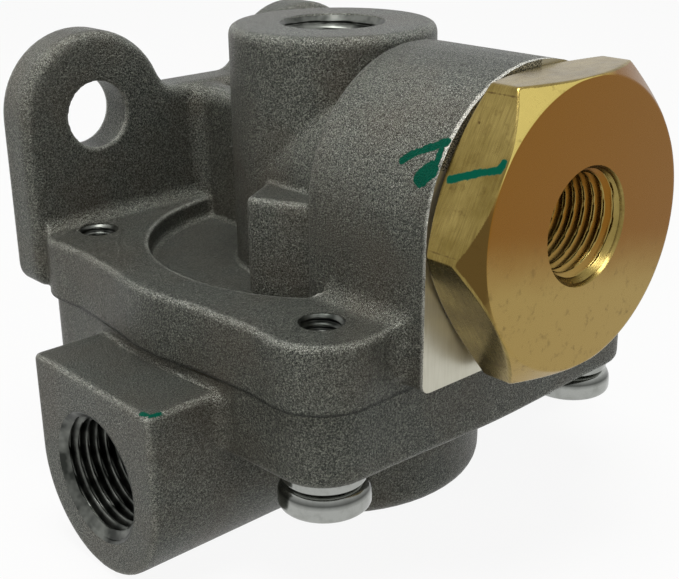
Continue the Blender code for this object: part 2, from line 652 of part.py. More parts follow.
def build_diaphragm():
    edge = DIAPHRAGM_T / 4
    low, high = DIAPHRAGM_Z, DIAPHRAGM_TOP_Z
    disc = turned("disc", [(0, high), (DIAPHRAGM_R - edge, high), (DIAPHRAGM_R, high - edge),
                           (DIAPHRAGM_R, low + edge), (DIAPHRAGM_R - edge, low), (0, low)])
    settled(disc, "diaphragm", black_rubber, joint=(0, 0, DIAPHRAGM_Z))
    low, high = SPRING_SEAT_Z, SPRING_SEAT_Z + SPRING_SEAT_T
    seat = turned("seat", [(0, high + SPRING_SEAT_HUB_H), (SPRING_SEAT_HUB_R, high + SPRING_SEAT_HUB_H),
                           (SPRING_SEAT_HUB_R, high), (SPRING_SEAT_R, high), (SPRING_SEAT_R, low), (0, low)],
                  steps=SMALL_STEPS)
    settled(seat, "spring_seat", zinc_plated_steel, joint=(0, 0, DIAPHRAGM_Z))

    start = high + FIT_GAP + SPRING_WIRE_R
    end = SPRING_WELL_Z - FIT_GAP - SPRING_WIRE_R
    count = int(SPRING_TURNS * 16)
    curve = bpy.data.curves.new("coil", "CURVE")
    curve.dimensions = "3D"
    curve.bevel_depth = SPRING_WIRE_R
    curve.bevel_resolution = 2
    curve.use_fill_caps = True
    spline = curve.splines.new("POLY")
    spline.points.add(count)
    for i, point in enumerate(spline.points):
        turn = 2 * math.pi * SPRING_TURNS * i / count
        point.co = (SPRING_R * math.cos(turn), SPRING_R * math.sin(turn),
                    start + (end - start) * i / count, 1)
    coil = add("coil", curve)
    wire = add("wire", evaluated_mesh(coil, "wire"))
    bpy.data.objects.remove(coil, do_unlink=True)
    tidy_normals(wire.data)
    settled(wire, "diaphragm_spring", spring_steel)

    seal_z = COVER_TOP_Z - SEAL_GROOVE_D + FIT_GAP + SEAL_WIRE_R
    settled(ring("seal", SEAL_R, SEAL_WIRE_R, "Z", (0, 0, seal_z)), "cover_seal", black_rubber)


# Double check and cap

def build_check():
    axis_at = (0, 0, BARREL_Z)
    front, back = -CHECK_DISC_T / 2, CHECK_DISC_T / 2
    edge = CHECK_DISC_T / 5
    disc = turned("shuttle", [(0, back), (CHECK_DISC_R - edge, back), (CHECK_DISC_R, back - edge),
                              (CHECK_DISC_R, front + edge), (CHECK_DISC_R - edge, front), (0, front)],
                  "Y", (0, CHECK_DISC_Y, BARREL_Z), PORT_STEPS)
    settled(disc, "check_disc", black_rubber, joint=(0, CHECK_DISC_Y, BARREL_Z))

    inner = CHECK_DISC_R + FIT_GAP
    outer = CHECK_BORE_R - FIT_GAP
    back_y, front_y = CHECK_BACK_Y - FIT_GAP, CAP_THREAD_END_Y + 2 * FIT_GAP
    guide = turned("guide", [(outer, back_y), (outer, front_y), (outer - GUIDE_WALL / 2, front_y),
                             (inner, front_y + GUIDE_WALL / 2), (inner, back_y)], "Y", axis_at,
                   PORT_STEPS, closed=True)
    windows = []
    window_l = (back_y - front_y) * 0.6
    for i in range(GUIDE_WINDOWS // 2):
        bm = bmesh.new()
        bmesh.ops.create_cube(bm, size=1)
        mesh = bpy.data.meshes.new("window")
        bm.to_mesh(mesh)
        bm.free()
        size = Matrix.Diagonal((3 * outer, window_l, GUIDE_WINDOW_W, 1))
        turn = Matrix.Rotation(math.radians(90 + 360 / GUIDE_WINDOWS * i), 4, "Y")
        mesh.transform(Matrix.Translation((0, (back_y + front_y) / 2, BARREL_Z)) @ turn @ size)
        windows.append(add("window", mesh))
    combine(guide, windows, "DIFFERENCE")
    settled(guide, "check_guide", black_plastic)


def build_cap():
    """Hexagon cap: the hexagon is chamfered by a turned cone, joined to the plug and bored."""
    corner = HEX_FLATS / 2 / math.cos(math.radians(30))
    hexagon = [(corner * math.cos(HEX_TURN + math.radians(60 * i)),
                BARREL_Z + corner * math.sin(HEX_TURN + math.radians(60 * i))) for i in range(6)]
    head = extruded("hexagon", hexagon, HEX_FRONT_Y, HEX_BACK_Y, "Y")
    round_edges(head, HEX_BLUNT, lambda p: HEX_FRONT_Y + 0.0001 < p.y < HEX_BACK_Y - 0.0001, 1)
    slope = math.tan(math.radians(30))
    outside = corner + PAST
    back = HEX_BACK_R - PAST
    cone = turned("cone", [(0, HEX_BACK_Y + PAST * slope), (back, HEX_BACK_Y + PAST * slope),
                           (outside, HEX_BACK_Y - (outside - HEX_BACK_R) * slope),
                           (outside, HEX_FRONT_Y + (outside - HEX_FACE_R) * slope),
                           (HEX_FACE_R - PAST, HEX_FRONT_Y - PAST * slope), (0, HEX_FRONT_Y - PAST * slope)],
                  "Y", (0, 0, BARREL_Z), 96)
    combine(head, [cone], "INTERSECT")
    neck_y = HEX_BACK_Y - HEX_T / 2
    plug = turned("plug", [(0, CAP_NOSE_Y), (CAP_NOSE_R, CAP_NOSE_Y), (CAP_NOSE_R, CAP_THREAD_END_Y),
                           (CAP_THREAD_R - PAST, CAP_THREAD_END_Y), (CAP_THREAD_R, CAP_THREAD_END_Y - PAST),
                           (CAP_THREAD_R, CAP_THREAD_START_Y), (CAP_NECK_R, CAP_THREAD_START_Y),
                           (CAP_NECK_R, neck_y), (0, neck_y)], "Y", (0, 0, BARREL_Z))
    combine(head, [plug], "UNION")
    port = pipe_port("cap_port", SUPPLY_ROOT_R, SUPPLY_CHAMFER_R, SUPPLY_THREAD_L, SUPPLY_DRILL_R,
                     SUPPLY_THREAD_L + 3 * PAST, "Y", (0, 0, 0))
    port.data.transform(Matrix.Translation((0, HEX_FRONT_Y, BARREL_Z)) @ Matrix.Diagonal((1, -1, 1, 1)))
    tidy_normals(port.data)
    through = turned("cap_passage", [(0, CAP_NOSE_Y + PAST), (CHECK_PASSAGE_R, CAP_NOSE_Y + PAST),
                                     (CHECK_PASSAGE_R, HEX_BACK_Y), (0, HEX_BACK_Y)],
                     "Y", (0, 0, BARREL_Z), SMALL_STEPS)
    combine(head, [port, through], "DIFFERENCE")
    settled(head, "cap_nut", brass)
    seal_y = CAP_THREAD_START_Y - FIT_GAP - CAP_SEAL_WIRE_R
    settled(ring("cap_ring", CAP_SEAL_R, CAP_SEAL_WIRE_R, "Y", (0, seal_y, BARREL_Z)), "cap_seal",
            black_rubber)


clear_scene()
valve_frame = bpy.data.objects.new("valve_frame", None)
parts.objects.link(valve_frame)
valve_frame.location = (0, -PLATE_BACK_Y, -EAR_Z)

cast_aluminium = material("cast_aluminium", 0.23, 0.22, 0.21, 0.50, 1.0)
brass = material("brass", 0.56, 0.40, 0.16, 0.30, 1.0)
zinc_plated_steel = material("zinc_plated_steel", 0.62, 0.62, 0.62, 0.22, 1.0)
spring_steel = material("spring_steel", 0.40, 0.40, 0.40, 0.30, 1.0)
black_rubber = material("black_rubber", 0.02, 0.02, 0.02, 0.60, 0.0)
black_plastic = material("black_plastic", 0.03, 0.03, 0.03, 0.45, 0.0)

build_body()
build_cover()
build_screws()
build_diaphragm()
build_check()
build_cap()
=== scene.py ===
import math

import bmesh
import bpy
import numpy as np
from mathutils import Matrix, Vector


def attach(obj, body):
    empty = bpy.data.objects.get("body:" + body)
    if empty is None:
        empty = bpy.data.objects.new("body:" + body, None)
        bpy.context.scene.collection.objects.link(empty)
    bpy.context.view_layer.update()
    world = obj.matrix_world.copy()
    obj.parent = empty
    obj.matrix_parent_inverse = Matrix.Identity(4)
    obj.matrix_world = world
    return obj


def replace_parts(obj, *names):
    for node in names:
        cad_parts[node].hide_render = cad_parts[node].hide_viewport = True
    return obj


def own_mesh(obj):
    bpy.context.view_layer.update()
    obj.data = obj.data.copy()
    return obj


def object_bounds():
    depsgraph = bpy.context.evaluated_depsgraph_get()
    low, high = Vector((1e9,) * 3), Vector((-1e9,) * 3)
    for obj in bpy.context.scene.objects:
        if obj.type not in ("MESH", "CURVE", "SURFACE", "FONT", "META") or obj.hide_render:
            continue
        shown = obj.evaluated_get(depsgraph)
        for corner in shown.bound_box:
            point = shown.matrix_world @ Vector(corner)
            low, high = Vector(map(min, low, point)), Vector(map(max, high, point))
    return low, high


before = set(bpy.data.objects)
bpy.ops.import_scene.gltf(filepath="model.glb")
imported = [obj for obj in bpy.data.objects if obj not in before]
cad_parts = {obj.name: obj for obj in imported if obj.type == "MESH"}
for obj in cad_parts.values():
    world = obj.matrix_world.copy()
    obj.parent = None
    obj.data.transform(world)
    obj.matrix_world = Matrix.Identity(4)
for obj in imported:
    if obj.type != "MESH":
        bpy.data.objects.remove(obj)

# Looks of the quick exhaust valve. Sizes are in millimetres about the top boss's axis, with the joint
# of the two castings at height 0, as the valve was drawn. placed() moves such points to the row's place.

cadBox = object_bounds()
mm = 0.001
origin = np.array([0.0, 34.6, 24.2])    # mounting face, between the ears


def placed(points):
    return (np.asarray(points, float) - origin) * mm


# Nodes and colours

def linear(hexCode):
    # sRGB hex to linear colour
    parts = [int(hexCode[i:i + 2], 16) / 255 for i in (1, 3, 5)]
    return [c / 12.92 if c <= 0.04045 else ((c + 0.055) / 1.055) ** 2.4 for c in parts] + [1.0]


def addNode(tree, kind, inputs=None, **settings):
    # one node with its settings, its fixed values and its links
    node = tree.nodes.new("ShaderNode" + kind)
    for name, value in settings.items():
        setattr(node, name, value)
    for key, value in (inputs or {}).items():
        if isinstance(value, bpy.types.NodeSocket):
            tree.links.new(value, node.inputs[key])
        else:
            node.inputs[key].default_value = value
    return node


def newMaterial(name):
    made = bpy.data.materials.new(name)
    made.use_nodes = True
    tree = made.node_tree
    return made, tree, tree.nodes["Principled BSDF"]


def setRamp(node, stops):
    # stops hold (position, colour or grey)
    ramp = node.color_ramp
    while len(ramp.elements) > 1:
        ramp.elements.remove(ramp.elements[0])
    for i, (position, colour) in enumerate(stops):
        element = ramp.elements[0] if i == 0 else ramp.elements.new(position)
        element.position = position
        element.color = linear(colour) if isinstance(colour, str) else (colour, colour, colour, 1)
    return node


def feed(tree, shader, inputs):
    # sets or links the inputs of a node that is there already
    for key, value in inputs.items():
        if isinstance(value, bpy.types.NodeSocket):
            tree.links.new(value, shader.inputs[key])
        else:
            shader.inputs[key].default_value = value


def mixed(tree, share, first, second, blend="MIX"):
    # colour output of a colour mix
    sockets = {0: share, 6: first, 7: second}
    return addNode(tree, "Mix", sockets, data_type="RGBA", blend_type=blend).outputs[2]


def noise(tree, place, grainMm, detail=2.0, rough=0.5):
    # noise whose lumps are about grainMm across
    return addNode(tree, "TexNoise", {"Vector": place, "Scale": 1 / (grainMm * mm), "Detail": detail,
                                      "Roughness": rough}).outputs["Fac"]


def ramp(tree, value, stops):
    return setRamp(addNode(tree, "ValToRGB", {"Fac": value}), stops).outputs["Color"]


def ranged(tree, value, low, high):
    return addNode(tree, "MapRange", {"Value": value, "To Min": low, "To Max": high}).outputs[0]


def math2(tree, operation, first, second=0.0):
    return addNode(tree, "Math", {0: first, 1: second}, operation=operation).outputs[0]


# Meshes

def meshFrom(name, points, faces, look, body="housing"):
    # points in millimetres as drawn, faces as rows of vertex numbers
    mesh = bpy.data.meshes.new(name)
    mesh.from_pydata(placed(points).tolist(), [], np.asarray(faces).tolist())
    mesh.validate()
    piece = bpy.data.objects.new(name, mesh)
    bpy.context.scene.collection.objects.link(piece)
    return dress(piece, look, body)


def dress(piece, look, body="housing"):
    piece.data.materials.clear()
    for one in look if isinstance(look, (list, tuple)) else [look]:
        piece.data.materials.append(one)
    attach(piece, body)
    return piece


def smooth(piece, angle=35):
    piece.data.shade_smooth()
    piece.data.set_sharp_from_angle(angle=math.radians(angle))
    return piece


def gridFaces(rows, columns):
    # quads of a grid that closes on itself both ways
    i, j = np.meshgrid(np.arange(rows), np.arange(columns), indexing="ij")
    nextI, nextJ = (i + 1) % rows, (j + 1) % columns
    return np.stack([i * columns + j, nextI * columns + j, nextI * columns + nextJ, i * columns + nextJ],
                    axis=-1).reshape(-1, 4)


def outward(points, faces):
    # the faces turned round if the closed shape they make has a negative volume
    p = np.asarray(points)[np.asarray(faces)]
    volume = np.einsum("ij,ij->i", p[:, 0], np.cross(p[:, 1], p[:, 2])).sum()
    volume += np.einsum("ij,ij->i", p[:, 0], np.cross(p[:, 2], p[:, 3])).sum()
    return faces if volume > 0 else np.asarray(faces)[:, ::-1]


def stood(radius, angle, height, axis, place):
    # points round an axis: height runs along it from its place
    across, along = radius * np.cos(angle), radius * np.sin(angle)
    height = height + 0 * across
    if axis == "z":
        points = np.stack([across, along, height], -1)
    elif axis == "y":
        points = np.stack([across, height, along], -1)
    else:
        points = np.stack([height, across, along], -1)
    return points.reshape(-1, 3) + np.asarray(place, float)


# Materials, each named for the real one

def strokeMask(tree, place, strokes):
    # 1 near any of the strokes, each (start, end, half width) in drawn millimetres; the edge is ragged
    ragged = ranged(tree, noise(tree, place, 0.5, 3.0), -0.45, 0.45)
    total = None
    for start, end, halfWidth in strokes:
        a, b = Vector(placed(start)), Vector(placed(end))
        along = b - a
        fromStart = addNode(tree, "VectorMath", {0: place, 1: a}, operation="SUBTRACT").outputs[0]
        dot = addNode(tree, "VectorMath", {0: fromStart, 1: along / along.length_squared},
                      operation="DOT_PRODUCT").outputs["Value"]
        share = addNode(tree, "Clamp", {"Value": dot}).outputs[0]
        nearest = addNode(tree, "VectorMath", {0: along, "Scale": share}, operation="SCALE").outputs[0]
        gap = addNode(tree, "VectorMath", {0: fromStart, 1: nearest}, operation="DISTANCE").outputs["Value"]
        gapMm = math2(tree, "MULTIPLY", gap, 1 / mm)
        roughGap = math2(tree, "ADD", gapMm, math2(tree, "MULTIPLY", ragged, 0.5))
        inside = math2(tree, "SUBTRACT", halfWidth, roughGap)
        total = inside if total is None else math2(tree, "MAXIMUM", total, inside)
    return addNode(tree, "MapRange", {"Value": total, "From Min": 0.0, "From Max": 0.12}).outputs[0]


def covered(tree, under, mask, look):
    # lays paint, seam lines, painted highlight and painted shade, each as far as its mask says, over what
    # would feed the shader
    whole = {"Base Color": linear(look["colour"]), "Roughness": [look["roughness"]] * 3 + [1],
             "Metallic": [look["metallic"]] * 3 + [1], "Specular IOR Level": [look["specular"]] * 3 + [1]}
    plain = {key: value if isinstance(value, bpy.types.NodeSocket) else [value] * 3 + [1]
             for key, value in under.items()}
    return {key: mixed(tree, mask, value, whole[key]) for key, value in plain.items()}


paintLook = {"colour": "#004d3c", "roughness": 0.5, "metallic": 0.0, "specular": 0.05}
rimHighlightLook = {"colour": "#e4e4da", "roughness": 0.4, "metallic": 0.4, "specular": 0.5}
rimShadeLook = {"colour": "#3c3d37", "roughness": 0.5, "metallic": 0.4, "specular": 0.2}
seamLook = {"colour": "#55441f", "roughness": 0.5, "metallic": 0.7, "specular": 0.3}
castLook = {"dark": "#101311", "mid": "#3a3d38", "pale": "#7f8277", "warm": "#483f34", "wornAndLit": "#dcded4",
            "paintedGlint": "#dee1d5", "grainMm": 0.24, "patchMm": 11.0, "edgeMm": 0.62, "chipMm": 1.6,
            "roughness": 0.42, "glossiest": 0.24, "metallic": 0.6, "specular": 0.25,
            "coarseDepth": 0.00032, "fineDepth": 0.00010}


def awayFrom(tree, place, bores):
    # 0 close to any of the bores, 1 elsewhere; a bore is (axis point, free axis, radius) in drawn
    # millimetres and stands on both sides of the middle planes
    total = None
    for centre, axis, radius in bores:
        drawn = addNode(tree, "VectorMath", {0: place, 1: list(origin * mm)}, operation="ADD").outputs[0]
        mirrored = addNode(tree, "VectorMath", {0: drawn}, operation="ABSOLUTE").outputs[0]
        gap = addNode(tree, "VectorMath", {0: mirrored, 1: [abs(v) * mm for v in centre]},
                      operation="SUBTRACT").outputs[0]
        flat = addNode(tree, "VectorMath", {0: gap, 1: [0.0 if k == axis else 1.0 for k in range(3)]},
                       operation="MULTIPLY").outputs[0]
        far = addNode(tree, "VectorMath", {0: flat}, operation="LENGTH").outputs["Value"]
        share = addNode(tree, "MapRange", {"Value": far, "From Min": radius * mm,
                                           "From Max": (radius + 0.3) * mm}).outputs[0]
        total = share if total is None else math2(tree, "MULTIPLY", total, share)
    return total


def castAluminium(name, bores, strokes=(), litRim=()):
    # die-cast aluminium, shot-blasted: dull dark grey, peened by shot into a grain of about 0.2 mm with
    # painted glints, bright where edges have rubbed and as painted highlight there, brownish where oil has
    # settled, level tops darkened as painted shade, and dark along the joint
    made, tree, shader = newMaterial(name)
    coords = addNode(tree, "TexCoord")
    place = coords.outputs["Object"]
    grain = noise(tree, place, castLook["grainMm"], 3.0, 0.6)
    fine = noise(tree, place, castLook["grainMm"] * 0.4, 1.0)
    patch = noise(tree, place, castLook["patchMm"], 4.0)
    tone = ramp(tree, grain, [(0.30, castLook["dark"]), (0.50, castLook["mid"]), (0.72, castLook["pale"])])
    oily = ramp(tree, patch, [(0.42, 0.0), (0.68, 0.45)])
    dirty = mixed(tree, oily, tone, linear(castLook["warm"]))
    # the share of short rays sent into the metal that come out again near an edge
    thin = addNode(tree, "AmbientOcclusion", {"Distance": castLook["edgeMm"] * mm}, inside=True,
                   only_local=True, samples=4).outputs["AO"]
    broken = math2(tree, "MULTIPLY", ramp(tree, fine, [(0.40, 0.1), (0.53, 1.0)]),
                   ramp(tree, noise(tree, place, castLook["chipMm"], 2.0), [(0.36, 0.4), (0.58, 1.0)]))
    edge = math2(tree, "MULTIPLY", ramp(tree, thin, [(0.70, 1.0), (0.84, 0.0)]), broken)
    # edges at the joint of the castings meet and so stay unrubbed
    height = addNode(tree, "SeparateXYZ", {0: place}).outputs["Z"]
    fromJoint = math2(tree, "ABSOLUTE", math2(tree, "ADD", height, origin[2] * mm))
    clear = addNode(tree, "MapRange", {"Value": fromJoint, "From Min": 0.0008,
                                       "From Max": 0.0016}).outputs[0]
    wearAndHighlight = math2(tree, "MULTIPLY", edge, math2(tree, "MULTIPLY", clear, awayFrom(tree, place, bores)))
    glint = ramp(tree, fine, [(0.55, 0.0), (0.72, 1.0)])
    # painted glints, most on faces that look up aslant, and painted shade that darkens level tops
    up = addNode(tree, "SeparateXYZ", {0: coords.outputs["Normal"]}).outputs["Z"]
    glintFacing = ramp(tree, up, [(0.0, 0.35), (0.5, 0.85), (0.85, 0.8), (0.97, 0.4)])
    # level tops darkened: painted shade
    shadedTops = mixed(tree, ramp(tree, up, [(0.90, 0.0), (0.98, 0.3)]), dirty, linear(castLook["dark"]))
    paintedGlints = math2(tree, "MULTIPLY", glint, glintFacing)
    withGlints = mixed(tree, paintedGlints, shadedTops, linear(castLook["paintedGlint"]))
    # bright rubbed edges, partly real wear and partly painted highlight
    wornAndLit = mixed(tree, wearAndHighlight, withGlints, linear(castLook["wornAndLit"]))
    seam = addNode(tree, "MapRange", {"Value": fromJoint, "From Min": 0.00012, "From Max": 0.0005,
                                      "To Min": 0.75, "To Max": 0.0}).outputs[0]
    jointed = mixed(tree, seam, wornAndLit, linear(castLook["dark"]))
    gloss = ranged(tree, glint, castLook["roughness"], castLook["glossiest"])
    coarse = addNode(tree, "Bump", {"Height": grain, "Strength": 1.0,
                                    "Distance": castLook["coarseDepth"]}).outputs[0]
    bump = addNode(tree, "Bump", {"Height": fine, "Strength": 0.8, "Distance": castLook["fineDepth"],
                                  "Normal": coarse}).outputs[0]
    inputs = {"Base Color": jointed, "Roughness": gloss, "Metallic": castLook["metallic"],
              "Specular IOR Level": castLook["specular"]}
    # bright broken strokes along the barrel's rim: painted highlight
    if litRim:
        share = math2(tree, "MULTIPLY", strokeMask(tree, place, litRim),
                      ramp(tree, fine, [(0.46, 0.0), (0.53, 1.0)]))
        inputs = covered(tree, inputs, share, rimHighlightLook)
    if strokes:
        inputs = covered(tree, inputs, strokeMask(tree, place, strokes), paintLook)
    feed(tree, shader, {**inputs, "Normal": bump})
    return made


milledLook = {"dark": "#a9a593", "pale": "#c9c7b8", "lineMm": 0.22, "lineTurn": 38, "roughness": 0.34,
              "metallic": 0.85}


def milledAluminium(name, shadedStrokes=()):
    # aluminium just milled: pale, with fine straight cutter lines 0.2 mm apart that run aslant, and
    # speckled dark along the shaded strokes as painted shade next to the cap
    made, tree, shader = newMaterial(name)
    place = addNode(tree, "TexCoord").outputs["Object"]
    turned = addNode(tree, "Mapping", {"Vector": place,
                                       "Rotation": (0, math.radians(milledLook["lineTurn"]), 0),
                                       "Scale": (1, 1, 0.06)}).outputs[0]
    lines = noise(tree, turned, milledLook["lineMm"], 1.0)
    patch = noise(tree, place, 3.0, 3.0)
    tone = mixed(tree, math2(tree, "MULTIPLY", lines, patch), linear(milledLook["pale"]),
                 linear(milledLook["dark"]))
    bump = addNode(tree, "Bump", {"Height": lines, "Strength": 0.25, "Distance": 0.00004}).outputs[0]
    inputs = {"Base Color": tone, "Roughness": milledLook["roughness"], "Metallic": milledLook["metallic"],
              "Specular IOR Level": 0.5}
    if shadedStrokes:
        # dark speckles along the strokes: painted shade
        speckle = ramp(tree, noise(tree, place, 0.2, 1.0), [(0.48, 1.0), (0.54, 0.1)])
        share = math2(tree, "MULTIPLY", strokeMask(tree, place, shadedStrokes), speckle)
        inputs = covered(tree, inputs, share, rimShadeLook)
    feed(tree, shader, {**inputs, "Normal": bump})
    return made


brassLook = {"deep": "#7b6a38", "bright": "#9a8850", "paintedUpperReflection": "#80571f", "face": "#9d854c",
             "chamfer": "#cab668", "shade": "#5c4824", "stain": "#4f3c1e", "roughness": 0.24,
             "lineMm": 0.14, "patchMm": 6.0, "spotMm": 1.4}


def turnedBrass(name, strokes=(), seams=(), dirt=1.0):
    # free-cutting brass, milled and turned: olive yellow with fine tool lines round the cap, its front
    # face browner over the upper half as a painted reflection, stained in spots, with a painted highlight
    # on the chamfer's upper left and painted shade on its left side; the seams are tool lines on a flat,
    # and dirt is the share of lines and spots
    made, tree, shader = newMaterial(name)
    coords = addNode(tree, "TexCoord")
    place = coords.outputs["Object"]
    streaky = addNode(tree, "Mapping", {"Vector": place, "Scale": (0.05, 1, 0.05)}).outputs[0]
    lines = noise(tree, streaky, brassLook["lineMm"], 2.0)
    patch = noise(tree, place, brassLook["patchMm"], 4.0, 0.6)
    spots = noise(tree, place, brassLook["spotMm"], 4.0, 0.7)
    tone = mixed(tree, ramp(tree, patch, [(0.35, 0.0), (0.65, 1.0)]), linear(brassLook["deep"]),
                 linear(brassLook["bright"]))
    slope = addNode(tree, "VectorMath", {0: place, 1: (0.2, 0, 1)},
                    operation="DOT_PRODUCT").outputs["Value"]
    level = math2(tree, "ADD", slope, ranged(tree, patch, -0.0015, 0.0015))
    # browner over the upper half of the face: painted reflection
    paintedUpperReflection = addNode(tree, "MapRange", {"Value": level, "From Min": -0.0138, "From Max": -0.0052},
                    interpolation_type="SMOOTHSTEP").outputs[0]
    faceTone = mixed(tree, paintedUpperReflection, linear(brassLook["face"]), linear(brassLook["paintedUpperReflection"]))
    facing = addNode(tree, "SeparateXYZ", {0: coords.outputs["Normal"]}).outputs["Y"]
    onChamfer = addNode(tree, "MapRange", {"Value": facing, "From Min": -0.66,
                                           "From Max": -0.71}).outputs[0]
    onFace = addNode(tree, "MapRange", {"Value": facing, "From Min": -0.93, "From Max": -0.98}).outputs[0]
    lined = mixed(tree, ramp(tree, lines, [(0.40, 0.0), (0.75, 0.45 * dirt)]), tone,
                  linear(brassLook["stain"]))
    across = addNode(tree, "SeparateXYZ", {0: place}).outputs["X"]
    # painted highlight on the chamfer's upper left and painted shade on its left side
    upLeft = addNode(tree, "VectorMath", {0: place, 1: (-0.5, 0, 0.87)},
                     operation="DOT_PRODUCT").outputs["Value"]
    lit = addNode(tree, "MapRange", {"Value": upLeft, "From Min": 0.0085, "From Max": 0.0115}).outputs[0]
    shaded = addNode(tree, "MapRange", {"Value": across, "From Min": -0.0150,
                                        "From Max": -0.0172}).outputs[0]
    brightened = mixed(tree, lit, faceTone, linear(brassLook["chamfer"]))
    chamfer = mixed(tree, shaded, brightened, linear(brassLook["shade"]))
    toned = mixed(tree, onFace, mixed(tree, onChamfer, lined, chamfer), faceTone)
    stains = math2(tree, "MULTIPLY", ramp(tree, spots, [(0.57, 0.0), (0.72, 0.5 * dirt)]),
                   math2(tree, "SUBTRACT", 1.0, math2(tree, "MULTIPLY", onFace, paintedUpperReflection)))
    stained = mixed(tree, stains, toned, linear(brassLook["stain"]))
    gloss = ranged(tree, spots, brassLook["roughness"] - 0.06, brassLook["roughness"] + 0.12)
    bump = addNode(tree, "Bump", {"Height": lines, "Strength": 0.3, "Distance": 0.00003}).outputs[0]
    inputs = {"Base Color": stained, "Roughness": gloss, "Metallic": 1.0, "Specular IOR Level": 0.5}
    if strokes:
        inputs = covered(tree, inputs, strokeMask(tree, place, seams), seamLook)
        inputs = covered(tree, inputs, strokeMask(tree, place, strokes), paintLook)
    feed(tree, shader, {**inputs, "Normal": bump})
    return made


zincLook = {"base": "#a0a29e", "dull": "#8c8e89", "shoulderReflection": "#3d3f3c", "roughness": 0.10}


def zincPlate():
    # bright zinc plate on steel: mirror-like with a faint haze, and a painted dark reflection on the round
    # shoulder
    made, tree, shader = newMaterial("brightZincPlatedSteel")
    coords = addNode(tree, "TexCoord")
    place = coords.outputs["Object"]
    haze = noise(tree, place, 1.2, 4.0)
    plain = mixed(tree, ramp(tree, haze, [(0.45, 0.0), (0.75, 0.8)]), linear(zincLook["base"]),
                  linear(zincLook["dull"]))
    # dark band on the upward round shoulder: painted reflection
    up = addNode(tree, "SeparateXYZ", {0: coords.outputs["Normal"]}).outputs["Z"]
    tone = mixed(tree, ramp(tree, up, [(0.15, 0.0), (0.40, 0.9), (0.70, 0.35), (0.80, 0.0)]), plain,
                 linear(zincLook["shoulderReflection"]))
    feed(tree, shader, {"Base Color": tone, "Roughness": ranged(tree, haze, zincLook["roughness"], 0.22),
                        "Metallic": 1.0})
    return made


cutLook = {"pale": "#6c6e69", "dark": "#2f312e", "roughness": 0.25}


def cutAluminium():
    # aluminium thread cut with a tap: patchy pale and dark, kept dark overall as painted shade inside the
    # holes
    made, tree, shader = newMaterial("tapCutAluminium")
    place = addNode(tree, "TexCoord").outputs["Object"]
    shadePatches = noise(tree, place, 2.5, 2.0)
    feed(tree, shader, {"Base Color": ramp(tree, shadePatches, [(0.35, cutLook["dark"]), (0.65, cutLook["pale"])]),
                        "Roughness": ranged(tree, shadePatches, cutLook["roughness"], 0.4), "Metallic": 1.0})
    return made


def drawnWire():
    # bright drawn spring wire: fine lines along the wire leave it satin
    made, tree, shader = newMaterial("drawnSpringSteel")
    place = addNode(tree, "TexCoord").outputs["Object"]
    lines = noise(tree, place, 0.3)
    feed(tree, shader, {"Base Color": ramp(tree, lines, [(0.3, "#5f6163"), (0.7, "#8c8f92")]),
                        "Roughness": 0.3, "Metallic": 1.0})
    return made


def mouldedRubber():
    # nitrile rubber, moulded: matt black with a faint bloom
    made, tree, shader = newMaterial("mouldedNitrileRubber")
    place = addNode(tree, "TexCoord").outputs["Object"]
    bloom = noise(tree, place, 2.0, 4.0)
    feed(tree, shader, {"Base Color": ramp(tree, bloom, [(0.35, "#161616"), (0.75, "#2a2a29")]),
                        "Roughness": ranged(tree, bloom, 0.5, 0.75)})
    return made


def mouldedNylon():
    # black nylon, moulded: slightly glossy with fine grain
    made, tree, shader = newMaterial("mouldedBlackNylon")
    place = addNode(tree, "TexCoord").outputs["Object"]
    grain = noise(tree, place, 0.2)
    bump = addNode(tree, "Bump", {"Height": grain, "Strength": 0.2, "Distance": 0.00003}).outputs[0]
    feed(tree, shader, {"Base Color": ramp(tree, grain, [(0.3, "#1b1c1d"), (0.7, "#242526")]),
                        "Roughness": 0.42, "Normal": bump})
    return made


# Castings: the node's shape is taken as the raw casting, its edges are softened, then it is machined again

castShape = {"voxel": 0.34, "softening": 2, "kept": 180000, "stretch": 1.2}


def plugPoints(radius, low, high, axis, place, steps=48):
    angle = np.linspace(0, 2 * np.pi, steps, endpoint=False)
    rings = [stood(np.full(steps, radius), angle, np.full(steps, h), axis, place) for h in (low, high)]
    i = np.arange(steps)
    j = (i + 1) % steps
    sides = np.stack([i, j, j + steps, i + steps], -1).tolist()
    return np.concatenate(rings), sides + [list(range(steps - 1, -1, -1)), list(range(steps, 2 * steps))]


def turnedPoints(profile, axis, place, steps=96):
    # a closed (radius, height) loop carried round an axis: point = (r cos a, r sin a, h)
    profile = np.asarray(profile, float)
    angle = np.linspace(0, 2 * np.pi, steps, endpoint=False)[:, None]
    radius, height = profile[None, :, 0] + 0 * angle, profile[None, :, 1] + 0 * angle
    points = stood(radius, angle + 0 * radius, height, axis, place)
    faces = gridFaces(steps, len(profile))
    return points, outward(points, faces)


def cutterFrom(shapes):
    # one mesh object of several closed shapes, their faces made to look outwards
    made = bmesh.new()
    for points, faces in shapes:
        verts = [made.verts.new(p) for p in placed(points)]
        for face in faces:
            corners = list(dict.fromkeys(face))
            if len(corners) > 2:
                made.faces.new([verts[k] for k in corners])
    bmesh.ops.remove_doubles(made, verts=made.verts, dist=1e-7)
    bmesh.ops.recalc_face_normals(made, faces=made.faces)
    mesh = bpy.data.meshes.new("cutter")
    made.to_mesh(mesh)
    made.free()
    cutter = bpy.data.objects.new("cutter", mesh)
    bpy.context.scene.collection.objects.link(cutter)
    return cutter


def applied(piece):
    # the modifiers made final
    graph = bpy.context.evaluated_depsgraph_get()
    mesh = bpy.data.meshes.new_from_object(piece.evaluated_get(graph), depsgraph=graph)
    piece.modifiers.clear()
    old = piece.data
    piece.data = mesh
    bpy.data.meshes.remove(old)
    return piece


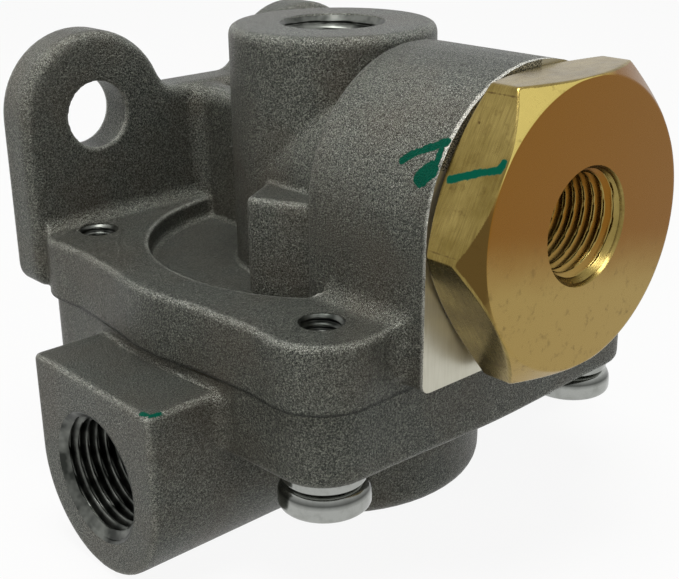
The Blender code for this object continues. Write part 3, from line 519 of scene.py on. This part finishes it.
def mergedCopy(node, name):
    made = bmesh.new()
    made.from_mesh(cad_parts[node].data)
    bmesh.ops.remove_doubles(made, verts=made.verts, dist=1e-6)
    mesh = bpy.data.meshes.new(name)
    made.to_mesh(mesh)
    made.free()
    piece = bpy.data.objects.new(name, mesh)
    bpy.context.scene.collection.objects.link(piece)
    return piece


def casting(node, name, fitted, stretched, plugs, rounds, looks):
    # fitted: function that brings the points to the photo's outline; stretched: (axis, plane, direction)
    # of faces to be machined, pushed out before the softening; plugs fill the bores that rounds of
    # cutters open again
    raw = mergedCopy(node, name)
    points = fitted(pointsOf(raw))
    for axis, plane, direction in stretched:
        onFace = np.abs(points[:, axis] - plane) < 0.02
        points[onFace, axis] += direction * castShape["stretch"]
    raw.data.vertices.foreach_set("co", placed(points).ravel())
    extra = cutterFrom(plugs)
    joined = bmesh.new()
    joined.from_mesh(raw.data)
    joined.from_mesh(extra.data)
    joined.to_mesh(raw.data)
    joined.free()
    bpy.data.objects.remove(extra, do_unlink=True)
    remesh = raw.modifiers.new("raw", "REMESH")
    remesh.mode = "VOXEL"
    remesh.voxel_size = castShape["voxel"] * mm
    soften = raw.modifiers.new("soften", "SMOOTH")
    soften.factor = 0.5
    soften.iterations = castShape["softening"]
    applied(raw)
    thinned = raw.modifiers.new("thinned", "DECIMATE")
    thinned.ratio = min(1.0, castShape["kept"] / (2 * len(raw.data.polygons)))
    applied(raw)
    for cuts in rounds:
        cutter = cutterFrom(cuts)
        machine = raw.modifiers.new("machine", "BOOLEAN")
        machine.operation = "DIFFERENCE"
        machine.solver = "MANIFOLD"
        machine.object = cutter
        applied(raw)
        bpy.data.objects.remove(cutter, do_unlink=True)
    dress(raw, looks)
    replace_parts(raw, node)
    smooth(raw, 50)
    markMachined(raw, stretched)
    return raw


def pointsOf(piece):
    points = np.empty(len(piece.data.vertices) * 3)
    piece.data.vertices.foreach_get("co", points)
    return points.reshape(-1, 3) / mm + origin


def markMachined(piece, planes):
    # faces that lie in one of the planes get the second material
    count = len(piece.data.polygons)
    centres, normals = np.empty(count * 3), np.empty(count * 3)
    piece.data.polygons.foreach_get("center", centres)
    piece.data.polygons.foreach_get("normal", normals)
    centres = centres.reshape(-1, 3) / mm + origin
    slots = np.zeros(count, np.int32)
    for axis, plane, direction in planes:
        facing = normals.reshape(-1, 3)[:, axis] * direction > 0.99
        slots[(np.abs(centres[:, axis] - plane) < 0.01) & facing] = 1
    piece.data.polygons.foreach_set("material_index", slots)


bodyShape = {"flangeTop": 8.7, "wallY": -31.4, "footX": 18.35, "cove": 2.6, "coveLow": 2.2,
             "buttressRise": 0.4, "earX": 20.1, "earHeight": 24.2, "earHole": 4.8, "earDraft": 0.4,
             "plateFront": 28.3, "plateBack": 34.6, "barrelEnd": -35.2}
coverShape = {"screwX": 24.1, "screwY": 24.2, "corner": 7.4, "slimCorner": 6.7, "lobe": 0.9,
              "lobeReach": 13.0, "dip": 0.4, "sideBow": 1.6, "frontBow": 0.8, "rim": 1.2, "deeper": 0.8,
              "top": -0.2}


def fittedBody(points):
    # the buttresses a little higher
    x, y, z = np.abs(points[:, 0]), points[:, 1], points[:, 2]
    top = (x > 14) & (x < 20.6) & (y > -15.5) & (y < 1.5) & (z > 18.2) & (z < 18.75)
    points[top, 2] += bodyShape["buttressRise"]
    return points


def fittedCover(points):
    # corners drawn in about the screws, sides that bow over their whole length, and a deeper flange
    c = coverShape
    x, y, z = points.T
    out = np.stack([np.maximum(np.abs(x) - c["screwX"], 0), np.maximum(np.abs(y) - c["screwY"], 0)], -1)
    reach = np.hypot(out[:, 0], out[:, 1])
    onSide = out[:, 1] == 0
    along = np.where(onSide, np.abs(y), np.abs(x))
    half = np.where(onSide, c["screwY"], c["screwX"])
    inCorner = (out[:, 0] > 0) & (out[:, 1] > 0)
    lobe = np.where(along < c["lobeReach"], c["lobe"] * np.cos(np.pi / 2 * along / c["lobeReach"]) ** 2,
                    -c["dip"] * np.sin(np.pi * (along - c["lobeReach"]) / (half - c["lobeReach"])) ** 2)
    bow = np.where(onSide, c["sideBow"], c["frontBow"]) * np.cos(np.pi / 2 * along / half) ** 2
    old = c["corner"] + np.where(inCorner, 0, lobe)
    new = c["slimCorner"] + np.where(inCorner, 0, bow)
    rim = (z > -9.25) & (reach > old - c["rim"]) & (reach < old + 0.1)
    outward2 = np.sign(points[:, :2]) * out / np.maximum(reach, 1e-6)[:, None]
    points[rim, :2] += (outward2 * (new - old)[:, None])[rim]
    low = np.min([np.abs(z - level) for level in (-9.2, -9.09, -8.8, -8.4)], axis=0) < 0.02
    points[low & (np.hypot(x, y) > 20.5) & (np.abs(x) < 33.5), 2] -= c["deeper"]
    return points


def cornerFillet(side):
    # fillet where the barrel's foot leaves the flange: it stands out from the barrel by the lesser of two
    # quarter coves, R - sqrt(R^2 - (R - gap)^2), one from the flange's front wall and one from its top
    b = bodyShape
    size = b["cove"]
    front = np.linspace(-1.0, size, 19)[:, None]
    up = np.linspace(b["coveLow"] - b["flangeTop"], size, 41)[None, :]
    coves = [size - np.sqrt(size ** 2 - (size - np.clip(gap, 0, size)) ** 2) for gap in (front, up)]
    out = b["footX"] + np.minimum(*coves)
    back = np.full_like(out, b["footX"] - 0.6)
    across = side * np.concatenate([out, back[:, ::-1]], axis=1)
    y = np.broadcast_to(b["wallY"] - front, across.shape)
    z = np.concatenate([np.broadcast_to(up, out.shape), np.broadcast_to(up[:, ::-1], out.shape)], axis=1)
    points = np.stack([across, y, z + b["flangeTop"]], -1).reshape(-1, 3)
    rows, columns = across.shape
    faces = gridFaces(rows, columns)[:(rows - 1) * columns].tolist()
    return points, faces + [list(range(columns)), list(range((rows - 1) * columns, rows * columns))]


def blockPoints(low, high):
    corners = [(x, y, z) for z in (low[2], high[2]) for y in (low[1], high[1]) for x in (low[0], high[0])]
    sides = [(0, 2, 3, 1), (4, 5, 7, 6), (0, 1, 5, 4), (2, 6, 7, 3), (0, 4, 6, 2), (1, 3, 7, 5)]
    return np.array(corners, float), sides


def bored(profile, axis, place, steps=96):
    # a turned cutter from a (radius, height) line that starts and ends on the axis
    closed = [(0.0005, profile[0][1])] + list(profile) + [(0.0005, profile[-1][1])]
    return turnedPoints(closed, axis, place, steps)


# Threads: a ring inside the bore whose inner wall is r = root - depth * ridge(h / pitch + a / 2 pi)

def threadRing(name, shape, axis, place, look):
    # shape gives the root radius and the chamfer's radius at the mouth, depth, pitch, length, taper, the
    # chamfer's slope, the direction into the bore and the points round it; the wall is sunk 0.35 mm
    perTurn, perPitch = shape["perTurn"], 12
    count = int(shape["length"] / shape["pitch"] * perPitch)
    angle = np.linspace(0, 2 * np.pi, perTurn, endpoint=False)[:, None]
    deep = np.linspace(0.0, shape["length"], count)[None, :]
    phase = (deep / shape["pitch"] + angle / (2 * np.pi)) % 1
    ridge = np.clip(1.25 * (1 - np.abs(2 * phase - 1)) - 0.125, 0, 1)
    root = shape["root"] - deep * shape["taper"]
    inner = root - shape["depth"] * ridge
    inner = np.maximum(inner, shape["chamfer"] - deep * shape["slope"])
    wall = root[:, ::-1] + 0.35 + 0 * angle
    radius = np.concatenate([inner, wall[:, :1], wall[:, -1:]], axis=1)
    height = np.concatenate([deep + 0 * angle, deep[:, -1:] + 0 * angle, deep[:, :1] + 0 * angle], axis=1)
    points = stood(radius, angle + 0 * radius, shape["into"] * height, axis, place)
    faces = outward(points, gridFaces(perTurn, radius.shape[1]))
    return smooth(meshFrom(name, points, faces, look, "housing"), 60)


# Turned pieces, the screws and their washers

def roundedProfile(corners, steps=5):
    # (radius, height, rounding) corners of a closed section, each rounded corner made an arc
    out = []
    count = len(corners)
    for k in range(count):
        here = np.array(corners[k][:2], float)
        size = corners[k][2]
        if size <= 0:
            out.append(here)
            continue
        before = np.array(corners[k - 1][:2], float) - here
        after = np.array(corners[(k + 1) % count][:2], float) - here
        before /= np.linalg.norm(before)
        after /= np.linalg.norm(after)
        for t in np.linspace(0, 1, steps + 1):
            # quadratic curve from one side to the other: close to an arc at this size
            out.append(here + before * size * (1 - t) ** 2 + after * size * t ** 2)
    return np.array(out)


def turnedPiece(name, corners, axis, place, look):
    points, faces = turnedPoints(roundedProfile(corners), axis, place, 128)
    return smooth(meshFrom(name, points, faces, look, "housing"), 40)


screwShape = {"x": 24.1, "y": 24.2, "headTop": -11.8, "headRadius": 5.85, "headHeight": 3.4,
              "roundBelow": 0.8, "roundAbove": 1.9, "stemRadius": 3.0, "stemTop": 5.2,
              "washerTop": -10.2, "washerThick": 1.4, "washerRadius": 5.3,
              "recessLength": 5.6, "recessWidth": 1.4, "recessDepth": 2.1}


def barPoints(length, width, low, high, turn, place, keep=0.55):
    # tapered bar of the cross recess
    flat = [(-1, -1), (1, -1), (1, 1), (-1, 1)]
    cos, sin = math.cos(turn), math.sin(turn)
    points = []
    for h, k in ((low, 1.0), (high, keep)):
        for u, v in flat:
            x, y = u * length / 2 * k, v * width / 2 * k
            points.append((place[0] + x * cos - y * sin, place[1] + x * sin + y * cos, h))
    sides = [(3, 2, 1, 0), (4, 5, 6, 7), (0, 1, 5, 4), (1, 2, 6, 5), (2, 3, 7, 6), (3, 0, 4, 7)]
    return np.array(points), sides


def coverScrews(look):
    s = screwShape
    bottom = s["headTop"] - s["headHeight"]
    corners = [(0.001, s["stemTop"], 0), (s["stemRadius"], s["stemTop"], 0.6),
               (s["stemRadius"], s["headTop"], 0), (s["headRadius"], s["headTop"], s["roundAbove"]),
               (s["headRadius"], bottom, s["roundBelow"]), (0.001, bottom, 0)]
    washer = [(s["stemRadius"] + 0.3, s["washerTop"], 0), (s["washerRadius"], s["washerTop"], 0.35),
              (s["washerRadius"], s["washerTop"] - s["washerThick"], 0.35),
              (s["stemRadius"] + 0.3, s["washerTop"] - s["washerThick"], 0)]
    for number, (u, v) in enumerate(((-1, -1), (1, -1), (1, 1), (-1, 1)), 1):
        place = (u * s["x"], v * s["y"], 0)
        screw = turnedPiece(f"panHeadScrew{number}", corners, "z", place, look)
        turn = math.radians(18 + 37 * number)
        bars = [barPoints(s["recessLength"], s["recessWidth"], bottom - 0.3, bottom + s["recessDepth"],
                          turn + quarter, place) for quarter in (0, math.pi / 2)]
        cutter = cutterFrom(bars)
        recess = screw.modifiers.new("recess", "BOOLEAN")
        recess.operation = "DIFFERENCE"
        recess.solver = "EXACT"
        recess.use_self = True
        recess.object = cutter
        applied(screw)
        bpy.data.objects.remove(cutter, do_unlink=True)
        smooth(screw, 40)
        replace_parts(screw, f"cover_screw_{number}")
        ring = turnedPiece(f"flatWasher{number}", washer, "z", place, look)
        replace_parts(ring, f"washer_{number}")


def coilSpring(look):
    # the CAD spring again, merged, shaded smooth and given a mesh of its own
    spring = dress(mergedCopy("diaphragm_spring", "coilSpring"), look)
    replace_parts(smooth(spring, 60), "diaphragm_spring")
    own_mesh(spring)


# Hexagon cap: rays from a ring inside the metal meet its planes, and the distance is the soft minimum
# D = (sum of (n.ray / d)^p)^(-1/p), which rounds every edge a little

capShape = {"flats": 34.93, "turn": 1.0, "blunt": 0.08, "faceRadius": 17.4, "chamfer": 42,
            "backRadius": 17.3, "front": 43.3, "back": 35.4, "height": 19.2, "sharpness": 150,
            "mouth": 7.2, "root": 6.9, "threadLength": 11.5}


def hexagonCap(look):
    c = capShape
    corners = np.radians(c["turn"] + 60 * np.arange(6))
    near = np.concatenate([np.arange(-4, 4, 0.25), np.arange(4, 56, 1.0)])
    theta = np.sort(np.radians(c["turn"] + (near[None, :] + 60 * np.arange(6)[:, None]).ravel()))
    centre = (11.0, (c["front"] + c["back"]) / 2)
    outline = [(c["mouth"], c["front"]), (c["faceRadius"], c["front"]), (18.6, c["front"] - 0.98),
               (18.6, c["back"] + 0.75), (c["backRadius"], c["back"]), (12.4, c["back"])]
    skin = []
    for (r0, a0), (r1, a1) in zip(outline[:-1], outline[1:]):
        steps = max(2, int(math.hypot(r1 - r0, a1 - a0) / 0.17))
        t = np.arange(steps) / steps
        skin.append(np.stack([r0 + (r1 - r0) * t, a0 + (a1 - a0) * t], -1))
    skin = np.concatenate(skin + [np.array([outline[-1]])])
    phi = np.arctan2(skin[:, 1] - centre[1], skin[:, 0] - centre[0])[None, :]
    rayOut, rayUp = np.cos(phi), np.sin(phi)
    half, corner = c["flats"] / 2, c["flats"] / 2 / math.cos(math.pi / 6) - c["blunt"]
    total = 0
    for spread, reach in ((np.pi / 6, half), (0.0, corner)):
        for side in corners + spread:
            facing = np.cos(theta - side)[:, None]
            total = total + np.maximum(facing * rayOut / (reach - centre[0] * facing), 0) ** c["sharpness"]
    sin30, cos30 = 0.5, math.cos(math.pi / 6)
    sinFront, cosFront = math.sin(math.radians(c["chamfer"])), math.cos(math.radians(c["chamfer"]))
    flat = [(0, 1, c["front"]), (0, -1, -c["back"]),
            (sinFront, cosFront, c["faceRadius"] * sinFront + c["front"] * cosFront),
            (sin30, -cos30, c["backRadius"] * sin30 - c["back"] * cos30)]
    for nOut, nUp, reach in flat:
        gap = reach - nOut * centre[0] - nUp * centre[1]
        total = total + np.maximum((nOut * rayOut + nUp * rayUp) / gap, 0) ** c["sharpness"]
    distance = total ** (-1 / c["sharpness"])
    radius = centre[0] + distance * rayOut
    along = centre[1] + distance * rayUp
    # the plug and the bore behind the skin are plain turned shapes
    threadEnd = c["front"] - c["threadLength"]
    inner = np.array([(12.4, 33.0), (13.9, 33.0), (13.9, 25.0), (12.9, 24.0), (7.2, 24.0), (7.2, 16.6),
                      (4.5, 16.6), (4.5, 28.0), (5.6, 28.8), (5.6, threadEnd - 1), (6.54, threadEnd),
                      (c["root"], c["front"] - 0.5)])
    radius = np.concatenate([radius, np.tile(inner[:, 0], (len(theta), 1))], axis=1)
    along = np.concatenate([along, np.tile(inner[:, 1], (len(theta), 1))], axis=1)
    points = stood(radius, theta[:, None] + 0 * radius, -along, "y", (0, 0, c["height"]))
    faces = outward(points, gridFaces(len(theta), radius.shape[1]))
    cap = smooth(meshFrom("hexagonCap", points, faces, look, "housing"), 50)
    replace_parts(cap, "cap_nut")
    return cap


# Studio

studio = {"floor": "#c8c8c6", "backdropShare": 0.92, "azimuth": -41.9, "elevation": 20.9, "roll": -0.8,
          "distance": 176.9, "focal": 1218.5, "centre": (337.0, 290.1), "side": 0.084, "rise": -0.418,
          "frame": (679, 579), "aim": (0, -0.03, 0),
          "key": {"place": (-0.12, -0.12, 0.80), "size": 0.45, "watts": 8.0},
          "fill": {"place": (-0.75, -0.25, 0.25), "size": 0.5, "watts": 1.1, "colour": "#ffcf9c",
                   "mirrored": False}}


def camera():
    s = studio
    az, el, roll = (math.radians(s[k]) for k in ("azimuth", "elevation", "roll"))
    back = Vector((math.sin(az) * math.cos(el), -math.cos(az) * math.cos(el), math.sin(el)))
    right = Vector((math.cos(az), math.sin(az), 0))
    up = back.cross(right)
    across = right * math.cos(roll) + up * math.sin(roll)
    upright = -right * math.sin(roll) + up * math.cos(roll)
    place = back * s["distance"] + across * s["side"] + upright * s["rise"]
    lens = bpy.data.cameras.new("camera")
    lens.sensor_width = 36
    lens.lens = s["focal"] * 36 / s["frame"][0]
    lens.shift_x = (s["frame"][0] / 2 - s["centre"][0]) / s["frame"][0]
    lens.shift_y = (s["centre"][1] - s["frame"][1] / 2) / s["frame"][0]
    lens.clip_start = 0.01
    made = bpy.data.objects.new("camera", lens)
    bpy.context.scene.collection.objects.link(made)
    turn = Matrix((across, upright, back)).transposed().to_4x4()
    turn.translation = placed(place)
    made.matrix_world = turn
    bpy.context.scene.camera = made


def softLight(name, place, size, watts, colour="#ffffff", mirrored=True):
    light = bpy.data.lights.new(name, "AREA")
    light.shape = "DISK"
    light.size = size
    light.energy = watts
    light.color = linear(colour)[:3]
    made = bpy.data.objects.new(name, light)
    bpy.context.scene.collection.objects.link(made)
    made.visible_glossy = mirrored
    made.location = place
    way = Vector(studio["aim"]) - Vector(place)
    made.rotation_euler = way.to_track_quat("-Z", "Y").to_euler()


def shown(tree):
    # 1 for rays that show the backdrop: the camera's, and those that metal and glass send on
    rays = addNode(tree, "LightPath").outputs
    return math2(tree, "MAXIMUM", rays["Is Camera Ray"], math2(tree, "MAXIMUM", rays["Is Glossy Ray"],
                                                                rays["Is Transmission Ray"]))


def room():
    # a white backdrop all round, and the light that a dim room would give
    world = bpy.data.worlds.new("room")
    bpy.context.scene.world = world
    world.use_nodes = True
    tree = world.node_tree
    way = addNode(tree, "TexCoord").outputs["Generated"]
    height = addNode(tree, "SeparateXYZ", {0: way}).outputs["Z"]
    level = addNode(tree, "MapRange", {"Value": height, "From Min": -1.0, "From Max": 1.0}).outputs[0]
    dim = ramp(tree, level, [(0.0, 0.10), (0.50, 0.12), (1.0, 0.28)])
    backdrop = mixed(tree, shown(tree), dim, [1, 1, 1, 1])
    feed(tree, tree.nodes["Background"], {"Color": backdrop, "Strength": 1.0})


def floor():
    low = cadBox[0][2] - 0.0004
    mesh = bpy.data.meshes.new("floor")
    mesh.from_pydata([(-4, -4, low), (4, -4, low), (4, 4, low), (-4, 4, low)], [], [(0, 1, 2, 3)])
    made = bpy.data.objects.new("floor", mesh)
    bpy.context.scene.collection.objects.link(made)
    look, tree, shader = newMaterial("paleFloorPaper")
    feed(tree, shader, {"Base Color": linear(studio["floor"]), "Roughness": 0.9, "Specular IOR Level": 0.1})
    glow = addNode(tree, "Emission", {"Color": [1, 1, 1, 1], "Strength": 1.0})
    share = math2(tree, "MULTIPLY", shown(tree), studio["backdropShare"])
    both = addNode(tree, "MixShader", {0: share, 1: shader.outputs[0], 2: glow.outputs[0]})
    tree.links.new(both.outputs[0], tree.nodes["Material Output"].inputs["Surface"])
    mesh.materials.append(look)


# Making

camera()
room()
floor()
softLight("keyLight", **studio["key"])
softLight("fillLight", **studio["fill"])
print("studio ready")

zinc = zincPlate()
# strokes are (start, end, half width) in drawn millimetres; the edge is the barrel's rim round the cap; the
# strokes along it are a painted highlight on the casting and painted shade on the milled face
rimRadius, rimHeight = 18.2, capShape["height"]
edge = [(rimRadius * math.cos(a), -35.15, rimHeight + rimRadius * math.sin(a))
        for a in np.radians(np.linspace(84, 148, 8))]
marks = {"seams": [((-10.9, -36.3, 35.55), (-10.9, -41.4, 35.55), 0.1),
                   ((-19.8, -36.5, 19.55), (-19.8, -41.0, 19.55), 0.1),
                   ((-12.6, -37.5, 32.6), (-12.65, -37.55, 32.5), 0.2)],
         "cap": [((-15.9, -36.4, 26.6), (-15.2, -40.0, 27.9), 0.55),
                 ((-15.2, -40.0, 27.9), (-14.7, -42.5, 28.6), 0.5),
                 ((-14.7, -42.4, 28.6), (-14.4, -42.6, 29.3), 0.5)],
         "body": [((-16.2, -29.4, 27.5), (-15.7, -30.5, 28.3), 0.55),
                  ((-15.7, -30.5, 28.3), (-15.3, -32.0, 29.1), 0.5),
                  ((-15.3, -32.0, 29.1), (-14.5, -34.6, 30.2), 0.6),
                  ((-15.1, -34.3, 29.3), (-16.2, -34.4, 27.5), 0.5),
                  ((-16.3, -33.9, 27.3), (-16.9, -32.9, 26.3), 1.15)],
         "litRim": [(edge[k], edge[k + 1], 0.6) for k in range(len(edge) - 1)],
         "rim": [(edge[k], edge[k + 1], 1.6) for k in range(1, len(edge) - 1)],
         "cover": [((-41.6, -11.6, -1.6), (-41.2, -13.0, -1.4), 0.5),
                   ((-41.2, -13.0, -1.5), (-39.9, -13.2, -1.6), 0.55)]}
brass = turnedBrass("threadedBrass", dirt=0.0)
markedBrass = turnedBrass("turnedBrassMarked", marks["cap"], marks["seams"])
tapped = ((screwShape["x"], screwShape["y"], 0), 2, 3.5)
supply, delivery = ((0, 0, 0), 2, 8.0), ((42, 0, 15.1), 0, 9.8)
bodyCast = castAluminium("shotBlastedCastBody", [tapped, supply], marks["body"], marks["litRim"])
coverCast = castAluminium("shotBlastedCastCover", [delivery], marks["cover"])
milled = milledAluminium("milledAluminium")
rimMilled = milledAluminium("milledAluminiumShadedRim", marks["rim"])
cutThread = cutAluminium()
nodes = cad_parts
rubber, wire, nylon = mouldedRubber(), drawnWire(), mouldedNylon()
hidden = {"diaphragm": rubber, "check_disc": rubber, "cover_seal": rubber, "cap_seal": rubber,
          "check_guide": nylon, "spring_seat": zinc}
for nodeName, look in hidden.items():
    nodes[nodeName].data.materials.clear()
    nodes[nodeName].data.materials.append(look)

screwPlaces = [(u * screwShape["x"], v * screwShape["y"]) for u in (-1, 1) for v in (-1, 1)]
b = bodyShape
# bores are (radius, height) lines along their axes, chamfered at the mouth
bores = {"supply": [(7.7, 38.7), (7.1, 38.1), (6.95, 36.9), (6.58, 26.7), (5.62, 25.7), (5.62, 24.0)],
         "tapped": [(2.82, 9.0), (2.82, 3.0)],
         "ear": [(b["earHole"] - 0.1, b["plateFront"] - 2), (b["earHole"] - 0.1, b["plateFront"]),
                 (b["earHole"] + b["earDraft"], b["plateBack"]),
                 (b["earHole"] + b["earDraft"], b["plateBack"] + 2)],
         "delivery": [(9.3, 42.5), (8.95, 41.95), (8.75, 41.5), (8.3, 30.0), (7.0, 28.8), (7.0, 26.0)],
         "exhaust": [(6.9, -27.0), (6.1, -26.2), (5.2, -25.3), (5.2, -18.0)]}
deliveryPlace = (0, 0, -15.1)

machined = [(1, b["barrelEnd"], -1), (2, 0.0, -1), (1, b["plateBack"], 1)]
plugs = [cornerFillet(side) for side in (-1, 1)]
plugs += [plugPoints(8.2, 27.0, 36.4, "z", (0, 0, 0))]
plugs += [plugPoints(4.0, 5.9, 8.6, "z", (x, y, 0)) for x, y in screwPlaces]
faceCuts = [blockPoints((-30, -60, -5), (30, b["barrelEnd"], 50)), blockPoints((-40, -34, -5), (40, 32, 0)),
            blockPoints((-45, b["plateBack"], -5), (45, 50, 50))]
portCuts = [bored(bores["supply"], "z", (0, 0, 0))]
portCuts += [bored(bores["tapped"], "z", (x, y, 0), 64) for x, y in screwPlaces]
portCuts += [bored(bores["ear"], "y", (side * b["earX"], 0, b["earHeight"])) for side in (-1, 1)]
body = casting("body", "bodyCasting", fittedBody, machined, plugs, [faceCuts, portCuts],
               [bodyCast, rimMilled])
print("body casting", len(body.data.polygons))
sidePlugs = [plugPoints(10.3, low, high, "x", deliveryPlace)
             for low, high in ((32.0, 41.9), (-41.9, -32.0))]
sideCuts = [bored([(radius, side * reach) for radius, reach in bores["delivery"]], "x", deliveryPlace)
            for side in (-1, 1)]
bottomCuts = [bored(bores["exhaust"], "z", (0, 0, 0))]
coverTop = coverShape["top"]
cover = casting("cover", "coverCasting", fittedCover, [(2, coverTop, 1)], sidePlugs,
                [[blockPoints((-45, -45, coverTop), (45, 45, 5))], sideCuts + bottomCuts],
                [coverCast, milled])
print("cover casting", len(cover.data.polygons))
cap = hexagonCap(markedBrass)
print("cap", len(cap.data.polygons))
coverScrews(zinc)
coilSpring(wire)
print("screws done")

# the taper pipe threads and the coarse thread of the tapped holes
capThread = {"root": 6.9, "depth": 0.85, "pitch": 1.411, "length": 11.4, "taper": 1 / 32,
             "chamfer": 7.2, "slope": 0.6, "into": 1, "perTurn": 128}
threadRing("balancePortThread", capThread, "y", (0, -43.27, capShape["height"]), brass)
threadRing("supplyPortThread", dict(capThread, into=-1), "z", (0, 0, 38.17), cutThread)
sideThread = dict(capThread, root=8.6, chamfer=8.9, length=12.0, depth=1.05, slope=1.2)
for side, into in (("left", 1), ("right", -1)):
    threadRing(f"{side}PortThread", dict(sideThread, into=into), "x",
               (-into * 41.97, 0, deliveryPlace[2]), cutThread)
holeThread = {"root": 2.78, "depth": 0.45, "pitch": 1.0, "length": 3.5, "taper": 0.0, "chamfer": 2.7,
              "slope": 0.9, "into": -1, "perTurn": 64}
for number, (x, y) in enumerate(screwPlaces, 1):
    threadRing(f"tappedHoleThread{number}", holeThread, "z", (x, y, 8.6), cutThread)
print("threads done")

scene = bpy.context.scene
scene.view_settings.view_transform = "Standard"
